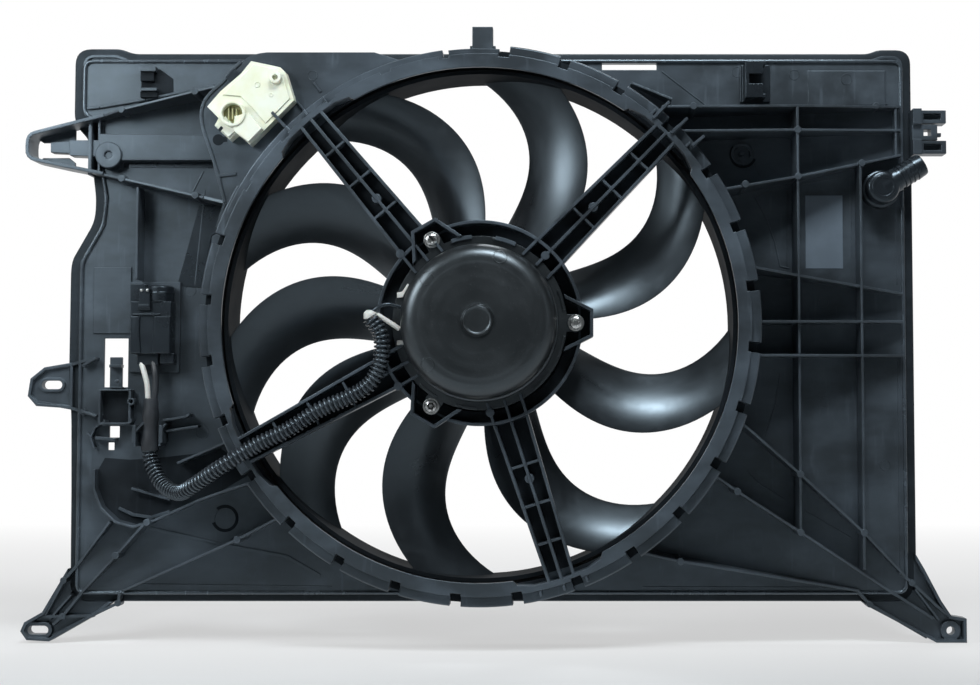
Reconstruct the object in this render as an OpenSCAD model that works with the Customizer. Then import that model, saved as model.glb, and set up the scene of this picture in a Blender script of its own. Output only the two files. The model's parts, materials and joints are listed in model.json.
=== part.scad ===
// Radiator fan module: banded nine-blade fan, electric motor and one-piece plastic shroud.
// Drawn flat as [across, up, depth]; depth 0 is the radiator edge and grows toward the motor side.

/* [Panel] */
// Left edge of the panel, measured from the motor axis
panel_left_x = -329; // [-340:1:-320]
// Right edge of the panel, measured from the motor axis
panel_right_x = 343; // [335:1:355]
// Top edge of the panel above the motor axis
panel_top_z = 222; // [219:1:230]
// Bottom edge of the panel below the motor axis
panel_bottom_z = -218; // [-228:1:-217]
// Wall thickness of the moulding
wall = 2.5; // [2:0.1:3]
// Depth of the rim wall that meets the radiator
rim_depth = 6; // [4:0.5:8]
// Width of the low flange around the panel
flange_w = 6; // [5:0.5:8]
// Front of the panel skin
panel_front = 14.5; // [13:0.5:17]
// Corner rounding of the panel
corner_r = 14; // [8:1:18]
// Height of the bead around the panel
bead_h = 1.6; // [1:0.1:2.5]

/* [Ribs] */
// Thickness of a stiffening rib
rib_t = 2; // [1.6:0.1:2.6]
// Radius of the round nodes on the ribs
node_r = 2.8; // [2.2:0.1:3.5]
// Height of the ribs near the ring
rib_high = 58; // [50:1:64]
// Height of the ribs halfway to the edge
rib_mid = 42; // [34:1:48]
// Height of the ribs at the panel edge
rib_low = 24; // [20:1:30]

/* [Ring] */
// Back of the barrel
barrel_back = 10; // [9:0.5:12]
// Width of the ring face outside the barrel bore
face_w = 7.1; // [5:0.1:9]
// How far the ring lip reaches over the barrel bore
lip_over = 3.5; // [2.5:0.1:4]
// Back of the thick ring under the face
ring_back = 58; // [57.5:0.5:60]
// Front of the ring face
ring_front = 71; // [69:0.5:73]
// Thickness of the ring lip
lip_t = 3; // [2:0.1:4]
// How far the castellated blocks stand out from the ring face
block_w = 5.4; // [3:0.1:8]
// Number of castellated blocks
block_count = 28; // [20:1:36]
// Angle of one gap between blocks
block_gap = 2.2; // [1.5:0.1:3.5]
// Angle of the first gap
block_start = 7.9; // [0:0.1:12]
// How far a gap cuts into the ring face
notch_in = 2.2; // [1:0.1:3]
// Back of the blocks
block_back = 50; // [46:1:54]
// Front of the blocks
block_front = 64; // [60:1:66]

/* [Spokes] */
// Angles of the four spokes
spoke_angles = [45.7, 129.7, 208.5, 287.8];
// Half width of a spoke at the motor carrier
spoke_half_in = 13; // [11:0.5:15]
// Half width of a spoke at the ring
spoke_half_out = 9.6; // [8:0.2:11]
// Thickness of the three long ribs of a spoke
spoke_rib_t = 2.4; // [1.8:0.1:3]
// Thickness of the web between the ribs
web_t = 2.5; // [2:0.1:3]
// Back of the spoke web
spoke_back = 58.5; // [58:0.5:60]
// Radii of the cross ribs
cross_radii = [113, 144, 174];
// Radius of the ejector boss on the middle rib
ejector_r = 3.6; // [2.5:0.1:4.5]

/* [Motor carrier] */
// Width of the carrier from its bore to the outside of its wall
carrier_w = 11; // [10:0.5:13]
// Clearance of the motor flange in the carrier
carrier_clear = 1.1; // [0.6:0.1:1.5]
// Back of the carrier
carrier_back = 57.5; // [57:0.5:59]
// Front of the carrier wall
carrier_front = 73; // [71:0.5:75]
// Distance of the motor screws from the edge of the motor flange
screw_past = 6.8; // [6.5:0.1:8]
// Number of motor screws
screw_count = 3; // [3:1:3]
// How far a screw lug reaches past its screw
lug_past = 13.2; // [11:0.2:16]
// Half width of a screw lug at its tip
lug_tip_half = 10.5; // [9:0.5:12]
// Half width of a screw lug at its root
lug_root_half = 26; // [22:0.5:29]
// How far a screw lug starts inside the carrier floor
lug_start = 12; // [10:0.5:14]

/* [Motor] */
// Outer radius of the motor can
can_r = 60; // [58:0.5:61]
// Wall of the motor can
can_wall = 2; // [1.6:0.1:2.4]
// Back of the motor can
can_back = 26; // [25:0.5:28]
// Front of the motor dome
can_front = 104; // [98:0.5:108]
// Rounding of the motor dome shoulder
dome_round = 14; // [8:1:16]
// Radius of the round cap over the front bearing
cap_r = 11.5; // [10:0.1:13]
// Width of the mounting flange round the motor can
motor_flange_w = 6.4; // [5:0.1:7]
// Thickness of the mounting flange
flange_t = 2.5; // [2:0.1:3]
// Radius of the motor shaft
shaft_r = 5; // [4:0.1:6]
// Radial running clearance of the shaft in its bearings
shaft_clear = 0.05; // [0.02:0.01:0.09]
// Outer radius of the ball bearings
bearing_r = 11; // [10:0.1:12]
// Width of the ball bearings
bearing_w = 7; // [6:0.5:8]
// Gap between the armature and the magnets
air_gap = 2; // [1:0.1:3]
// Length of the armature stack
armature_l = 34; // [28:1:38]
// Number of armature slots
slot_count = 14; // [10:1:18]
// Outer radius of the commutator
comm_r = 15; // [13:0.5:17]
// Length of the commutator
comm_l = 10; // [8:0.5:10.5]
// Thickness of the curved magnets
magnet_t = 6; // [5:0.1:7]
// Length of a brush along its slide
brush_l = 16; // [12:1:18]

/* [Fan] */
// Outer radius of the fan hub
hub_r = 78; // [77:0.5:79]
// Back of the fan hub
hub_back = 14; // [13:0.5:16]
// Front of the hub rim
hub_front = 54; // [50:1:56]
// Wall thickness of the hub and its web
hub_wall = 2.6; // [2.2:0.1:3]
// Inner radius of the band around the blades
band_r = 195.5; // [194:0.1:196]
// Thickness of the band
band_t = 2.4; // [2:0.1:2.8]
// Radial running clearance between the band and the barrel
band_clear = 2.6; // [1.5:0.1:4]
// Back of the band
band_back = 12; // [11:0.5:14]
// Front of the band
band_front = 56; // [52:0.5:57]
// Number of blades
blade_count = 9; // [5:1:11]
// Angle of the first blade
blade_first = 13.2; // [0:0.1:40]
// Swing of the unequal blade spacing
blade_uneven = 9; // [0:0.1:10]
// Phase of the unequal blade spacing
blade_phase = 25; // [0:1:360]
// Blade width at the hub, as an angle
chord_root = 31; // [26:0.5:34]
// Blade width at the tip, as an angle
chord_tip = 18.3; // [14:0.1:22]
// Sweep of the blade tip
blade_sweep = 31.4; // [20:0.1:36]
// Blade depth at the hub
blade_depth_root = 34; // [28:1:36]
// Blade depth at the tip
blade_depth_tip = 25; // [18:1:32]
// Greatest thickness of a blade
blade_t = 3; // [2:0.1:3.5]

/* [Fixings] */
// Place of the lower right fixing hole
right_foot = [371, -241];
// Radius of the lower right fixing hole
foot_hole_r = 3.3; // [2.8:0.1:3.6]
// Back of both feet
foot_back = 4; // [3:0.5:5]
// Thickness of the feet
foot_t = 9; // [7:0.5:11]
// Place of the lower left fixing slot
left_foot = [-353, -240.5];
// Place of the middle left fixing slot
side_ear = [-346, -46];
// Half width of the fixing slots
slot_r = 3.4; // [3:0.1:3.8]
// Distance between the end centres of a slot
slot_pitch = 9.6; // [7:0.2:10]
// Place of the screw boss on the left
boss_at = [-299, 137];
// Radius of the hole in the screw boss
boss_hole_r = 3; // [2.4:0.1:3.4]

/* [Harness] */
// Outer radius of the corrugated conduit
conduit_r = 6.25; // [5.5:0.05:6.8]
// Radius of one insulated wire
wire_r = 2.1; // [1.7:0.1:2.5]
// Back of the connector, on its rail
connector_back = 18; // [17:0.5:20]
// Depth of the connector
connector_d = 15; // [12:0.5:18]

// Radius of the hose elbow
elbow_r = 15; // [12:0.5:16]
// Radius of the spigot of the hose elbow
spigot_r = 6.5; // [5:0.5:8]

/* [Control module] */
// Front of the module platform
platform_front = 52; // [46:1:54]
// Thickness of the module housing
module_t = 10; // [8:0.5:14]
// Place of the round module socket
socket_at = [-191, 161];
// Outer radius of the module socket
socket_r = 9; // [8:0.5:10]

/* [Hidden] */
$fn = 72;
skin_back = panel_front - wall;
barrel_r = band_r + band_t + band_clear;
face_r = barrel_r + face_w;
lip_r = barrel_r - lip_over;
block_r = face_r + block_w;
barrel_out = barrel_r + wall;
bead_top = panel_front + bead_h;
flange_front = rim_depth + wall;
step_in = flange_w + wall;
foot_front = foot_back + foot_t;
web_front = spoke_back + web_t;
flange_r = can_r + motor_flange_w;
carrier_bore = flange_r + carrier_clear;
carrier_r = carrier_bore + carrier_w;
screw_circle = flange_r + screw_past;
lug_reach = screw_circle + lug_past;
carrier_floor = carrier_back + wall;
carrier_in = carrier_r - wall;
seat_h = carrier_floor + 9;
flange_front_h = seat_h + flange_t;
rib_edge = panel_right_x - step_in - 1;
column_in = 248;
column_out = 299;
rib_outer = 33;
lug_front = carrier_front + 2;
lap = 0.4;
screw_hole_r = 2.6;
shaft_bore = shaft_r + shaft_clear;
can_in = can_r - can_wall;
mid_motor = (can_back + can_front) / 2;
stack_back = mid_motor - armature_l / 2 - 6;
stack_front = stack_back + armature_l;
comm_back = stack_front + 8;
comm_front = comm_back + comm_l;
card_back = comm_back + 1;
card_t = 2;
front_bearing_back = can_front - can_wall - bearing_w;
magnet_in = can_in - magnet_t;
armature_r = magnet_in - air_gap;
conduit_lie = ring_front + conduit_r + 0.3;
conduit_route = [
    [-262, -94, 27], [-260, -108, 29], [-249, -124, 37], [-233, -130, 51], [-218, -124, 66],
    [-194, -109, conduit_lie + 0.6], [-168, -93, conduit_lie], [-144, -81, conduit_lie],
    [-120, -66, conduit_lie], [-97, -56, conduit_lie], [-82, -46, conduit_lie + 1.5],
    [-74, -30, conduit_lie + 2.5], [-74, -10, conduit_lie + 2.5], [-82, 3, conduit_lie + 2.5]
];
motor_end = conduit_route[len(conduit_route) - 1];
plug_end = conduit_route[0];
panel_outline = [
    [panel_left_x, panel_top_z + 4], [panel_left_x, 165], [-314, 161], [-314, 126], [-310, 104],
    [-312, 84], [panel_left_x, 54], [panel_left_x, panel_bottom_z],
    [panel_right_x, panel_bottom_z], [panel_right_x, panel_top_z + 3],
    [panel_right_x - 24, panel_top_z + 3], [panel_right_x - 32, panel_top_z],
    [panel_left_x + 44, panel_top_z], [panel_left_x + 34, panel_top_z + 4]
];
platform_outline = [
    [-216, 84], [-222, 128], [-217, 164], [-200, 195], [-184, 208], [-170, 213],
    [-84, 213], [-60, 206], [-140, 150], [-185, 90]
];
module_outline = [
    [-178, 204], [-155, 199], [-151, 195], [-144, 173], [-178, 138], [-188, 147], [-194, 142],
    [-206, 153], [-203, 159], [-212, 168], [-202, 180], [-186, 194]
];

// Stands the flat drawing up, with the lower right fixing hole at the origin
module upright() {
    translate([-right_foot[0], foot_back, -right_foot[1]]) rotate([90, 0, 0]) children();
}

// A flat shape between two depths
module slab(back, front) {
    translate([0, 0, back]) linear_extrude(front - back) children();
}

// A ring between two radii and two depths
module tube(r_in, r_out, back, front) {
    rotate_extrude() translate([r_in, back]) square([r_out - r_in, front - back]);
}

// A straight wall whose top runs from one height to another
module rib(from, to, top_from, top_to, base = panel_front, t = rib_t) {
    run = to - from;
    translate([from[0], from[1], 0]) rotate([0, 0, atan2(run[1], run[0])]) rotate([90, 0, 0])
        translate([0, 0, -t / 2]) linear_extrude(t)
            polygon([[0, base], [norm(run), base], [norm(run), top_to], [0, top_from]]);
}

// A wall along several points, mitred where it turns; each point is [across, up, top]
function wall_side(p, i) = let (d = p[i + 1] - p[i]) [-d[1], d[0]] / norm([d[0], d[1]]);
function wall_mitre(p, i) = let (
    a = wall_side(p, max(i - 1, 0)),
    b = wall_side(p, min(i, len(p) - 2))
) (a + b) / (1 + a * b);
module rib_chain(p, base = panel_front, t = rib_t) {
    last = len(p) - 1;
    corners = [for (i = [0 : last]) let (c = [p[i][0], p[i][1]], m = wall_mitre(p, i) * t / 2)
        each [[c[0] + m[0], c[1] + m[1], base], [c[0] - m[0], c[1] - m[1], base],
            [c[0] - m[0], c[1] - m[1], p[i][2]], [c[0] + m[0], c[1] + m[1], p[i][2]]]];
    skin = [for (i = [0 : last - 1]) let (a = 4 * i, b = a + 4)
        each [[b + 3, a + 3, a, b], [a + 2, b + 2, b + 1, a + 1], [b, a, a + 1, b + 1],
            [a + 3, b + 3, b + 2], [a + 3, b + 2, a + 2]]];
    ends = [[3, 2, 1, 0], [for (k = [0 : 3]) 4 * last + k]];
    polyhedron(points = corners, faces = concat(skin, ends), convexity = 6);
}

// A round node standing on a rib
module rib_node(at, top, base = panel_front) {
    translate([at[0], at[1], base]) cylinder(r = node_r, h = top - base, $fn = 24);
}

// A slot along the width of the object
module slot_shape(r = slot_r) {
    translate([-slot_pitch / 2, 0]) circle(r);
    translate([slot_pitch / 2, 0]) circle(r);
    square([slot_pitch, 2 * r], center = true);
}

// Points of a smooth curve through the listed points
function blend_point(a, b, c, d, t) = 0.5 * (2 * b + (c - a) * t
    + (2 * a - 5 * b + 4 * c - d) * t * t + (3 * b - a - 3 * c + d) * t * t * t);
function smooth_path(p, n) = [
    for (i = [0 : len(p) - 2], j = [0 : n - 1])
        blend_point(p[max(i - 1, 0)], p[i], p[i + 1], p[min(i + 2, len(p) - 1)], j / n),
    p[len(p) - 1]
];
function unit(v) = v / norm(v);
function heading(p, i) = unit(p[min(i + 1, len(p) - 1)] - p[max(i - 1, 0)]);

// A round tube along a path
module sweep(path, r, sides = 10) {
    last = len(path) - 1;
    rings = [for (i = [0 : last]) let (
        t = heading(path, i),
        s = unit(cross(t, [0, 0, 1])),
        u = cross(s, t)
    ) for (k = [0 : sides - 1]) path[i] + r * (cos(360 * k / sides) * s + sin(360 * k / sides) * u)];
    walls = [for (i = [0 : last - 1], k = [0 : sides - 1]) let (n = (k + 1) % sides)
        [i * sides + k, i * sides + n, (i + 1) * sides + n, (i + 1) * sides + k]];
    start = [[for (k = [sides - 1 : -1 : 0]) k]];
    end = [[for (k = [0 : sides - 1]) last * sides + k]];
    polyhedron(points = rings, faces = concat(walls, start, end), convexity = 6);
}

// The rounded panel outline, drawn in by a distance
module panel_shape(inset = 0) {
    offset(delta = -inset) offset(r = corner_r, $fn = 32) offset(r = -corner_r)
        polygon(panel_outline);
}

module half_plane(side) {
    translate([side > 0 ? 0 : -500, -400]) square([500, 800]);
}

// Stepped skin of one half of the panel, around the barrel
module panel_half(side) {
    difference() {
        union() {
            slab(rim_depth, flange_front) intersection() {
                difference() {
                    panel_shape();
                    panel_shape(step_in);
                }
                half_plane(side);
            }
            slab(rim_depth, bead_top) intersection() {
                difference() {
                    panel_shape(flange_w);
                    panel_shape(step_in);
                }
                half_plane(side);
            }
            slab(skin_back, panel_front) intersection() {
                panel_shape(flange_w);
                half_plane(side);
            }
        }
        slab(-1, bead_top + 1) circle(barrel_out);
    }
}

module panel_left() {
    window = [-303, -48];
    color("#2b3036") upright() {
        difference() {
            panel_half(-1);
            slab(0, 30) difference() {
                translate(window) square([19, 39]);
                translate([window[0] + 4.5, window[1]]) square([10, 24]);
            }
            slab(0, 30) translate([-298, -88]) square([8, 9]);
            slab(0, 30) translate([-299, -98]) square([5, 6]);
            slab(0, 30) translate([-265, 187]) square([11, 10]);
            slab(0, 30) translate(boss_at) circle(boss_hole_r);
        }
        // Raised channel and screw boss beside the upper ear
        difference() {
            slab(panel_front, panel_front + 4) union() {
                translate([-292, 135]) square([66, 19]);
                translate(boss_at) circle(10.5);
            }
            slab(0, 30) translate(boss_at) circle(boss_hole_r);
            slab(panel_front + 2, 30) difference() {
                translate(boss_at) circle(8.5);
                translate(boss_at) circle(6);
            }
        }
        // Walls of the pocket under the spring tongue
        slab(panel_front, panel_front + 8) difference() {
            translate([-305, -78]) square([26, 28]);
            translate([-303, -76]) square([22, 25]);
        }
    }
}

module panel_right() {
    color("#2b3036") upright() {
        difference() {
            panel_half(1);
            slab(0, 30) translate([95, 208]) square([44, 6]);
        }
        // Raised rectangle and spiral boss
        slab(panel_front, panel_front + 1) translate([261, 179]) square([62, 28]);
        slab(panel_front, panel_front + 4) translate([207, 139]) difference() {
            circle(9);
            circle(6.5);
            translate([0, -12]) square([12, 10]);
        }
        slab(panel_front, panel_front + 7) translate([207, 139]) circle(2);
    }
}

// One side of the rim wall behind the panel flange
module rim_part(corner, size) {
    color("#22262b") upright() slab(0, rim_depth) intersection() {
        difference() {
            panel_shape();
            panel_shape(wall);
        }
        translate(corner) square(size);
    }
}

module rim_top() rim_part([-400, 190], [800, 60]);
module rim_bottom() rim_part([-400, -260], [800, 70]);
module rim_left() rim_part([-400, -190], [200, 380]);
module rim_right() rim_part([200, -190], [200, 380]);

module fan_barrel() {
    color("#24282d") upright() tube(barrel_r, barrel_out, barrel_back, ring_back);
}

// Shape cut out of the ring lip beside a spoke root
module root_cut() {
    polygon([
        [lip_r - 8, -38], [lip_r + 1, -33], [barrel_out * cos(6), -barrel_out * sin(6)],
        [barrel_out, 0],
        [barrel_out * cos(6), barrel_out * sin(6)], [lip_r + 1, 33], [lip_r - 8, 38]
    ]);
}

// Thick ring, its lip and the castellated blocks around it
module ring_face() {
    color("#33383e") upright() difference() {
        union() {
            rotate_extrude() polygon([
                [barrel_r, ring_back], [face_r, ring_back], [face_r, block_back],
                [block_r, block_back], [block_r, block_front], [face_r, block_front],
                [face_r, ring_front], [lip_r, ring_front], [lip_r, ring_front - lip_t],
                [barrel_r, ring_front - lip_t]
            ]);
            for (a = [0, 1, 3], fin = [-5, 0, 5]) rotate([0, 0, spoke_angles[a] + fin])
                translate([face_r - 1, -rib_t / 2, block_front - 1])
                    cube([block_r - face_r + 0.4, rib_t, ring_front - block_front + 0.6]);
        }
        for (i = [0 : block_count - 1]) rotate([0, 0, block_start + 360 * i / block_count])
            translate([face_r - notch_in, -face_r * sin(block_gap / 2), block_back - 1])
                cube([20, 2 * face_r * sin(block_gap / 2), 30]);
        for (a = spoke_angles) rotate([0, 0, a]) slab(ring_back - 1, ring_front + 1)
            intersection() {
                root_cut();
                circle(barrel_out);
            }
    }
}

// Half width of a spoke at a radius
function spoke_half(r) = spoke_half_in
    + (spoke_half_out - spoke_half_in) * (r - carrier_r) / (barrel_out - carrier_r);

// Open ladder spoke: a web, three long ribs, cross ribs and a round ejector boss
module spoke(angle) {
    color("#2a2e34") upright() rotate([0, 0, angle]) difference() {
        intersection() {
            union() {
                slab(spoke_back, web_front) polygon([
                    [carrier_r - 8, -spoke_half_in], [barrel_out + 2, -spoke_half_out],
                    [barrel_out + 2, spoke_half_out], [carrier_r - 8, spoke_half_in]
                ]);
                for (side = [-1, 0, 1])
                    rib([carrier_r - 8, side * spoke_half_in], [barrel_out + 2, side * spoke_half_out],
                        ring_front, ring_front, spoke_back, spoke_rib_t);
                for (r = cross_radii) translate([r - 1, -spoke_half(r), spoke_back])
                    cube([2, 2 * spoke_half(r), ring_front - spoke_back - 1]);
                translate([cross_radii[0] + 11, 0, spoke_back])
                    cylinder(r = ejector_r, h = ring_front - spoke_back - 0.5);
            }
            cylinder(r = barrel_out, h = 200);
        }
        cylinder(r = carrier_r, h = 200);
        for (i = [0 : screw_count - 1]) rotate([0, 0, 360 * i / screw_count - angle])
            slab(0, 200) lug_shape();
    }
}

module spoke_upper_right() spoke(spoke_angles[0]);
module spoke_upper_left() spoke(spoke_angles[1]);
module spoke_lower_left() spoke(spoke_angles[2]);
module spoke_bottom() spoke(spoke_angles[3]);

// Outline of one screw lug, drawn in by a distance
module lug_shape(inset = 0) {
    offset(delta = -inset) polygon([
        [carrier_bore - lug_start, -lug_root_half], [lug_reach, -lug_tip_half], [lug_reach, lug_tip_half],
        [carrier_bore - lug_start, lug_root_half]
    ]);
}

// Ring that carries the motor: floor, outer wall, three screw lugs and short ribs
module motor_carrier() {
    color("#2a2e34") upright() difference() {
        union() {
            difference() {
                union() {
                    rotate_extrude() polygon([
                        [carrier_bore - 3, carrier_back], [carrier_r, carrier_back],
                        [carrier_r, carrier_front], [carrier_in, carrier_front],
                        [carrier_in, carrier_floor], [carrier_bore - 3, carrier_floor]
                    ]);
                    for (a = spoke_angles, side = [-1, 0, 1]) rotate([0, 0, a])
                        rib([carrier_bore - 2, side * spoke_half_in],
                            [carrier_in + 1, side * spoke_half_in],
                            carrier_front - 3, carrier_front - 0.5, carrier_back + 1, spoke_rib_t);
                }
                for (i = [0 : screw_count - 1]) rotate([0, 0, 360 * i / screw_count])
                    slab(carrier_floor, 200) lug_shape(wall / 2);
            }
            for (i = [0 : screw_count - 1]) rotate([0, 0, 360 * i / screw_count]) {
                slab(carrier_back + lap, carrier_floor - lap) lug_shape(wall / 2);
                slab(carrier_back - lap, lug_front) difference() {
                    lug_shape();
                    lug_shape(wall);
                }
                translate([screw_circle, 0, carrier_back - 2 * lap])
                    cylinder(r = 6.5, h = seat_h - carrier_back + 2 * lap);
            }
        }
        cylinder(r = carrier_bore, h = 200);
        for (i = [0 : screw_count - 1]) rotate([0, 0, 360 * i / screw_count])
            translate([screw_circle, 0, 0]) cylinder(r = 2, h = 200);
    }
}

// Loop ear around a snap tongue
module ear_upper_left() {
    ear = [
        [-329, 165.5], [-362, 154.5], [-368, 149.5], [-369, 142], [-365, 136.5], [-310, 122],
        [-304, 122], [-304, 166], [-312, 169]
    ];
    color("#262a2f") upright() difference() {
        union() {
            slab(rim_depth, 26) difference() {
                polygon(ear);
                offset(delta = -3.2) polygon(ear);
            }
            slab(10, 18) translate([-349, 139.5]) square([45, 9.5]);
            slab(8, 20) translate([-330, 138.5]) square([26, 11.5]);
        }
        slab(-1, 60) panel_shape();
    }
}

module ear_side_left() {
    ear = [[-329, -28], [-352, -32], [-363, -41], [-365, -55], [-358, -63], [-329, -65]];
    color("#262a2f") upright() difference() {
        union() {
            slab(2, flange_front) polygon(ear);
            slab(flange_front, flange_front + 3) difference() {
                polygon(ear);
                offset(delta = -2.4) polygon(ear);
            }
            slab(flange_front, flange_front + 2) translate(side_ear) slot_shape(slot_r + 2.2);
        }
        slab(0, 30) translate(side_ear) slot_shape();
        slab(-1, 30) translate([panel_left_x, -400]) square([200, 800]);
    }
}

module foot_lower_left() {
    foot = [
        [-320, -176], [-335, -202], [-349, -226], [-363, -234], [-366, -241], [-361, -248],
        [-343, -249], [-306, -228], [-288, -214]
    ];
    color("#262a2f") upright() difference() {
        union() {
            slab(foot_back, foot_front - 4) polygon(foot);
            slab(foot_front - 4, foot_front + 3) difference() {
                polygon(foot);
                offset(delta = -wall) polygon(foot);
            }
            slab(foot_back, foot_front) translate(left_foot) slot_shape(slot_r + 3);
            rib([-344, -232], [-322, -208], foot_front, foot_front + 5, foot_back);
        }
        slab(0, 40) translate(left_foot) slot_shape();
        slab(-1, 60) panel_shape();
    }
}

module foot_lower_right() {
    foot = [
        [336, -168], [350, -192], [363, -217], [371, -229], [383, -231], [383, -250], [359, -250],
        [304, -221], [296, -214]
    ];
    color("#262a2f") upright() difference() {
        union() {
            slab(foot_back, foot_front - 4) polygon(foot);
            slab(foot_front - 4, foot_front + 3) difference() {
                polygon(foot);
                offset(delta = -wall) polygon(foot);
            }
            slab(foot_back, foot_front) translate(right_foot) circle(8);
            rib([362, -233], [338, -202], foot_front, foot_front + 5, foot_back);
        }
        slab(0, 40) translate(right_foot) circle(foot_hole_r);
        slab(-1, 60) panel_shape();
    }
}

// Fork ear of two prongs with a snap block between them
module fork_upper_right() {
    color("#262a2f") upright() difference() {
        union() {
            for (z = [162, 137.5]) {
                slab(rim_depth, 25) translate([330, z]) square([20, 12.5]);
                slab(rim_depth + 3, 22) translate([350, z + 1]) square([20, 10.5]);
            }
            slab(10, 22) translate([330, 149.5]) square([33, 12.5]);
            slab(14, 18) translate([363, 153]) square([4, 3]);
        }
        for (z = [162, 137.5]) slab(16, 40) translate([352, z + 4]) square([14, 5]);
        slab(0, 40) translate([352, 153]) square([6, 5]);
        slab(-1, 60) intersection() {
            panel_shape();
            translate([0, -400]) square([500, 800]);
        }
    }
}

module top_tab() {
    color("#22262b") upright() difference() {
        union() {
            slab(block_back, block_back + 10) translate([-7, block_r - 13]) square([16, 31]);
            slab(block_back, block_back + 6) translate([-9, block_r - 13]) square([20, 17]);
        }
        cylinder(r = block_r, h = 200);
    }
}

// Curved wall that guides the conduit up to the ring
module cable_trough() {
    trough = [
        [-307, -113, 24], [-307, -128, 24], [-301, -143, 25], [-289, -154, 27], [-274, -158, 29],
        [-258, -153, 31], [-240, -145, 34], [-222, -137, 38], [-202, -130, 43], [-176, -122, 52]
    ];
    color("#2a2e34") upright() difference() {
        rib_chain(trough);
        cylinder(r = block_r, h = 200);
    }
}

// Stiffening walls on the left half, clear of the ring
module ribs_left() {
    color("#2a2e34") upright() difference() {
        union() {
            rib_chain([[-315, 166, 20], [-287, 172, 32], [-222, 185, 44], [-200, 189, 47]]);
            rib_chain([[-310, 123, 22], [-286, 117, 32], [-222, 101, rib_mid], [-186, 95, rib_high]]);
            rib([-308, 122.5], [-308, 167.5], 20, 20);
            for (n = [[-287, 172, 33], [-226, 184, 44], [-286, 117, 33], [-225, 102, 43]])
                rib_node(n, n[2]);
            rib([-319, -31], [-307, -25], 20, rib_low);
            rib([-319, -67], [-306, -71], 20, rib_low);
            rib([-319, -186], [-293, -154], 17, 27);
            rib_chain([[-319, -212, 17], [-287, -180, 30], [-262, -153, 34]]);
            rib_chain([[-285, -209, 18], [-188, -166, 48], [-140, -141, rib_high]]);
            rib([-250.8, -83], [-225, -79], 24, 24);
            rib([-240, -108], [-190, -88], 30, 50);
            for (n = [[-287, -180, 31], [-262, -154, 34], [-188, -166, 49]]) rib_node(n, n[2]);
            rib([-273, 110], [-273, 37], 33, 33);
            rib([-278, -128], [-247, -137], 22, 22);
            rib([-60, 207], [-100, 207], 20, 20);
        }
        cylinder(r = block_r, h = 200);
        slab(0, 200) polygon(platform_outline);
    }
}

// Upright stiffening walls that cross the sloping ones
module ribs_upright() {
    color("#2a2e34") upright() {
        rib([column_in, 173], [column_in, -161], rib_mid, rib_mid);
        rib([column_out, 129], [column_out, -191], rib_outer, rib_outer);
        rib([rib_edge - 4, 137], [rib_edge - 4, 176], rib_low, rib_low);
    }
}

// Stiffening walls on the right half, clear of the ring
module ribs_right() {
    edge = rib_edge;
    color("#2a2e34") upright() difference() {
        union() {
            for (w = [[140, 169, 173, 176], [155, 150, 154, 157], [185, 104, 117, 137], [205, 45, 39, 26]])
                rib_chain([[w[0], w[1], rib_high], [column_in, w[2], rib_mid], [edge, w[3], rib_low]]);
            rib([205, 2], [edge, 4], rib_high, rib_low);
            rib([205, -24], [edge, -23], rib_high, rib_low);
            rib_chain([[188, -65, rib_high], [column_in, -116, rib_mid], [column_out, -162, rib_outer],
                [edge, -197, 20]]);
            rib_chain([[170, -109, rib_high], [198, -129, 50], [column_in, -161, rib_mid],
                [edge - 12, -209, 18]]);
            rib_chain([[110, -172, rib_high], [154, -183, 46], [298, -209, 19]]);
            rib([118, 196], [150, 180], 22, 34);
            for (n = [[165, 170, 56], [248, 154, 43], [205, 109, 55], [313, 176, 28], [300, 129, 34],
                [248, 117, 43], [198, -129, 51], [154, -183, 47], [248, -116, 43], [248, -161, 43],
                [299, -162, 34]]) rib_node(n, n[2]);
        }
        cylinder(r = block_r, h = 200);
    }
}

// Raised platform of the control module, open behind
module module_platform() {
    color("#31363c") upright() difference() {
        slab(panel_front, platform_front) difference() {
            polygon(platform_outline);
            circle(block_r);
        }
        slab(panel_front - 1, platform_front - wall) difference() {
            offset(delta = -wall) polygon(platform_outline);
            circle(block_r + wall);
        }
    }
}

module control_module() {
    color("#e9e8d6") upright() difference() {
        union() {
            slab(platform_front, platform_front + module_t) offset(r = 1.2, $fn = 16)
                offset(delta = -1.2) polygon(module_outline);
            slab(platform_front, platform_front + module_t + 6) translate(socket_at) circle(socket_r);
            slab(platform_front, platform_front + module_t + 3) translate([-206, 147]) square([11, 9]);
            slab(platform_front, platform_front + module_t + 4) translate([-160, 191]) circle(4);
        }
        slab(platform_front + 3, 200) translate(socket_at) circle(socket_r - 1.8);
        slab(platform_front + module_t - 1, 200) translate([-160, 191]) circle(2);
        slab(platform_front + 5, 200) translate([-203, 149]) square([4, 3]);
    }
}

module module_terminals() {
    color("#c9a64a") upright() slab(platform_front + 3, platform_front + module_t - 2)
        translate(socket_at) for (x = [-3, 3], z = [-2.5, 2.5])
            translate([x - 1.2, z - 0.5]) square([2.4, 1]);
}

module module_clip() {
    color("#1b1d20") upright() slab(platform_front, platform_front + 7) translate([-193, 193])
        rotate([0, 0, 45]) square([10, 6], center = true);
}

module connector_rail() {
    color("#24282d") upright() {
        slab(panel_front, connector_back) translate([-282, -36]) square([40, 72]);
        slab(panel_front, panel_front + 1.2) translate([-312, -5]) square([30, 53]);
    }
}

module connector_socket() {
    color("#17191c") upright() difference() {
        union() {
            slab(connector_back, connector_back + connector_d) translate([-270, 0]) square([25, 32]);
            slab(connector_back, connector_back + connector_d - 4) translate([-279, 2]) square([9, 26]);
            slab(connector_back, connector_back + connector_d + 2) translate([-254, 2]) square([9, 22]);
        }
        slab(connector_back + connector_d - 2, 60) translate([-267, 12]) square([6, 14]);
    }
}

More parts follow.
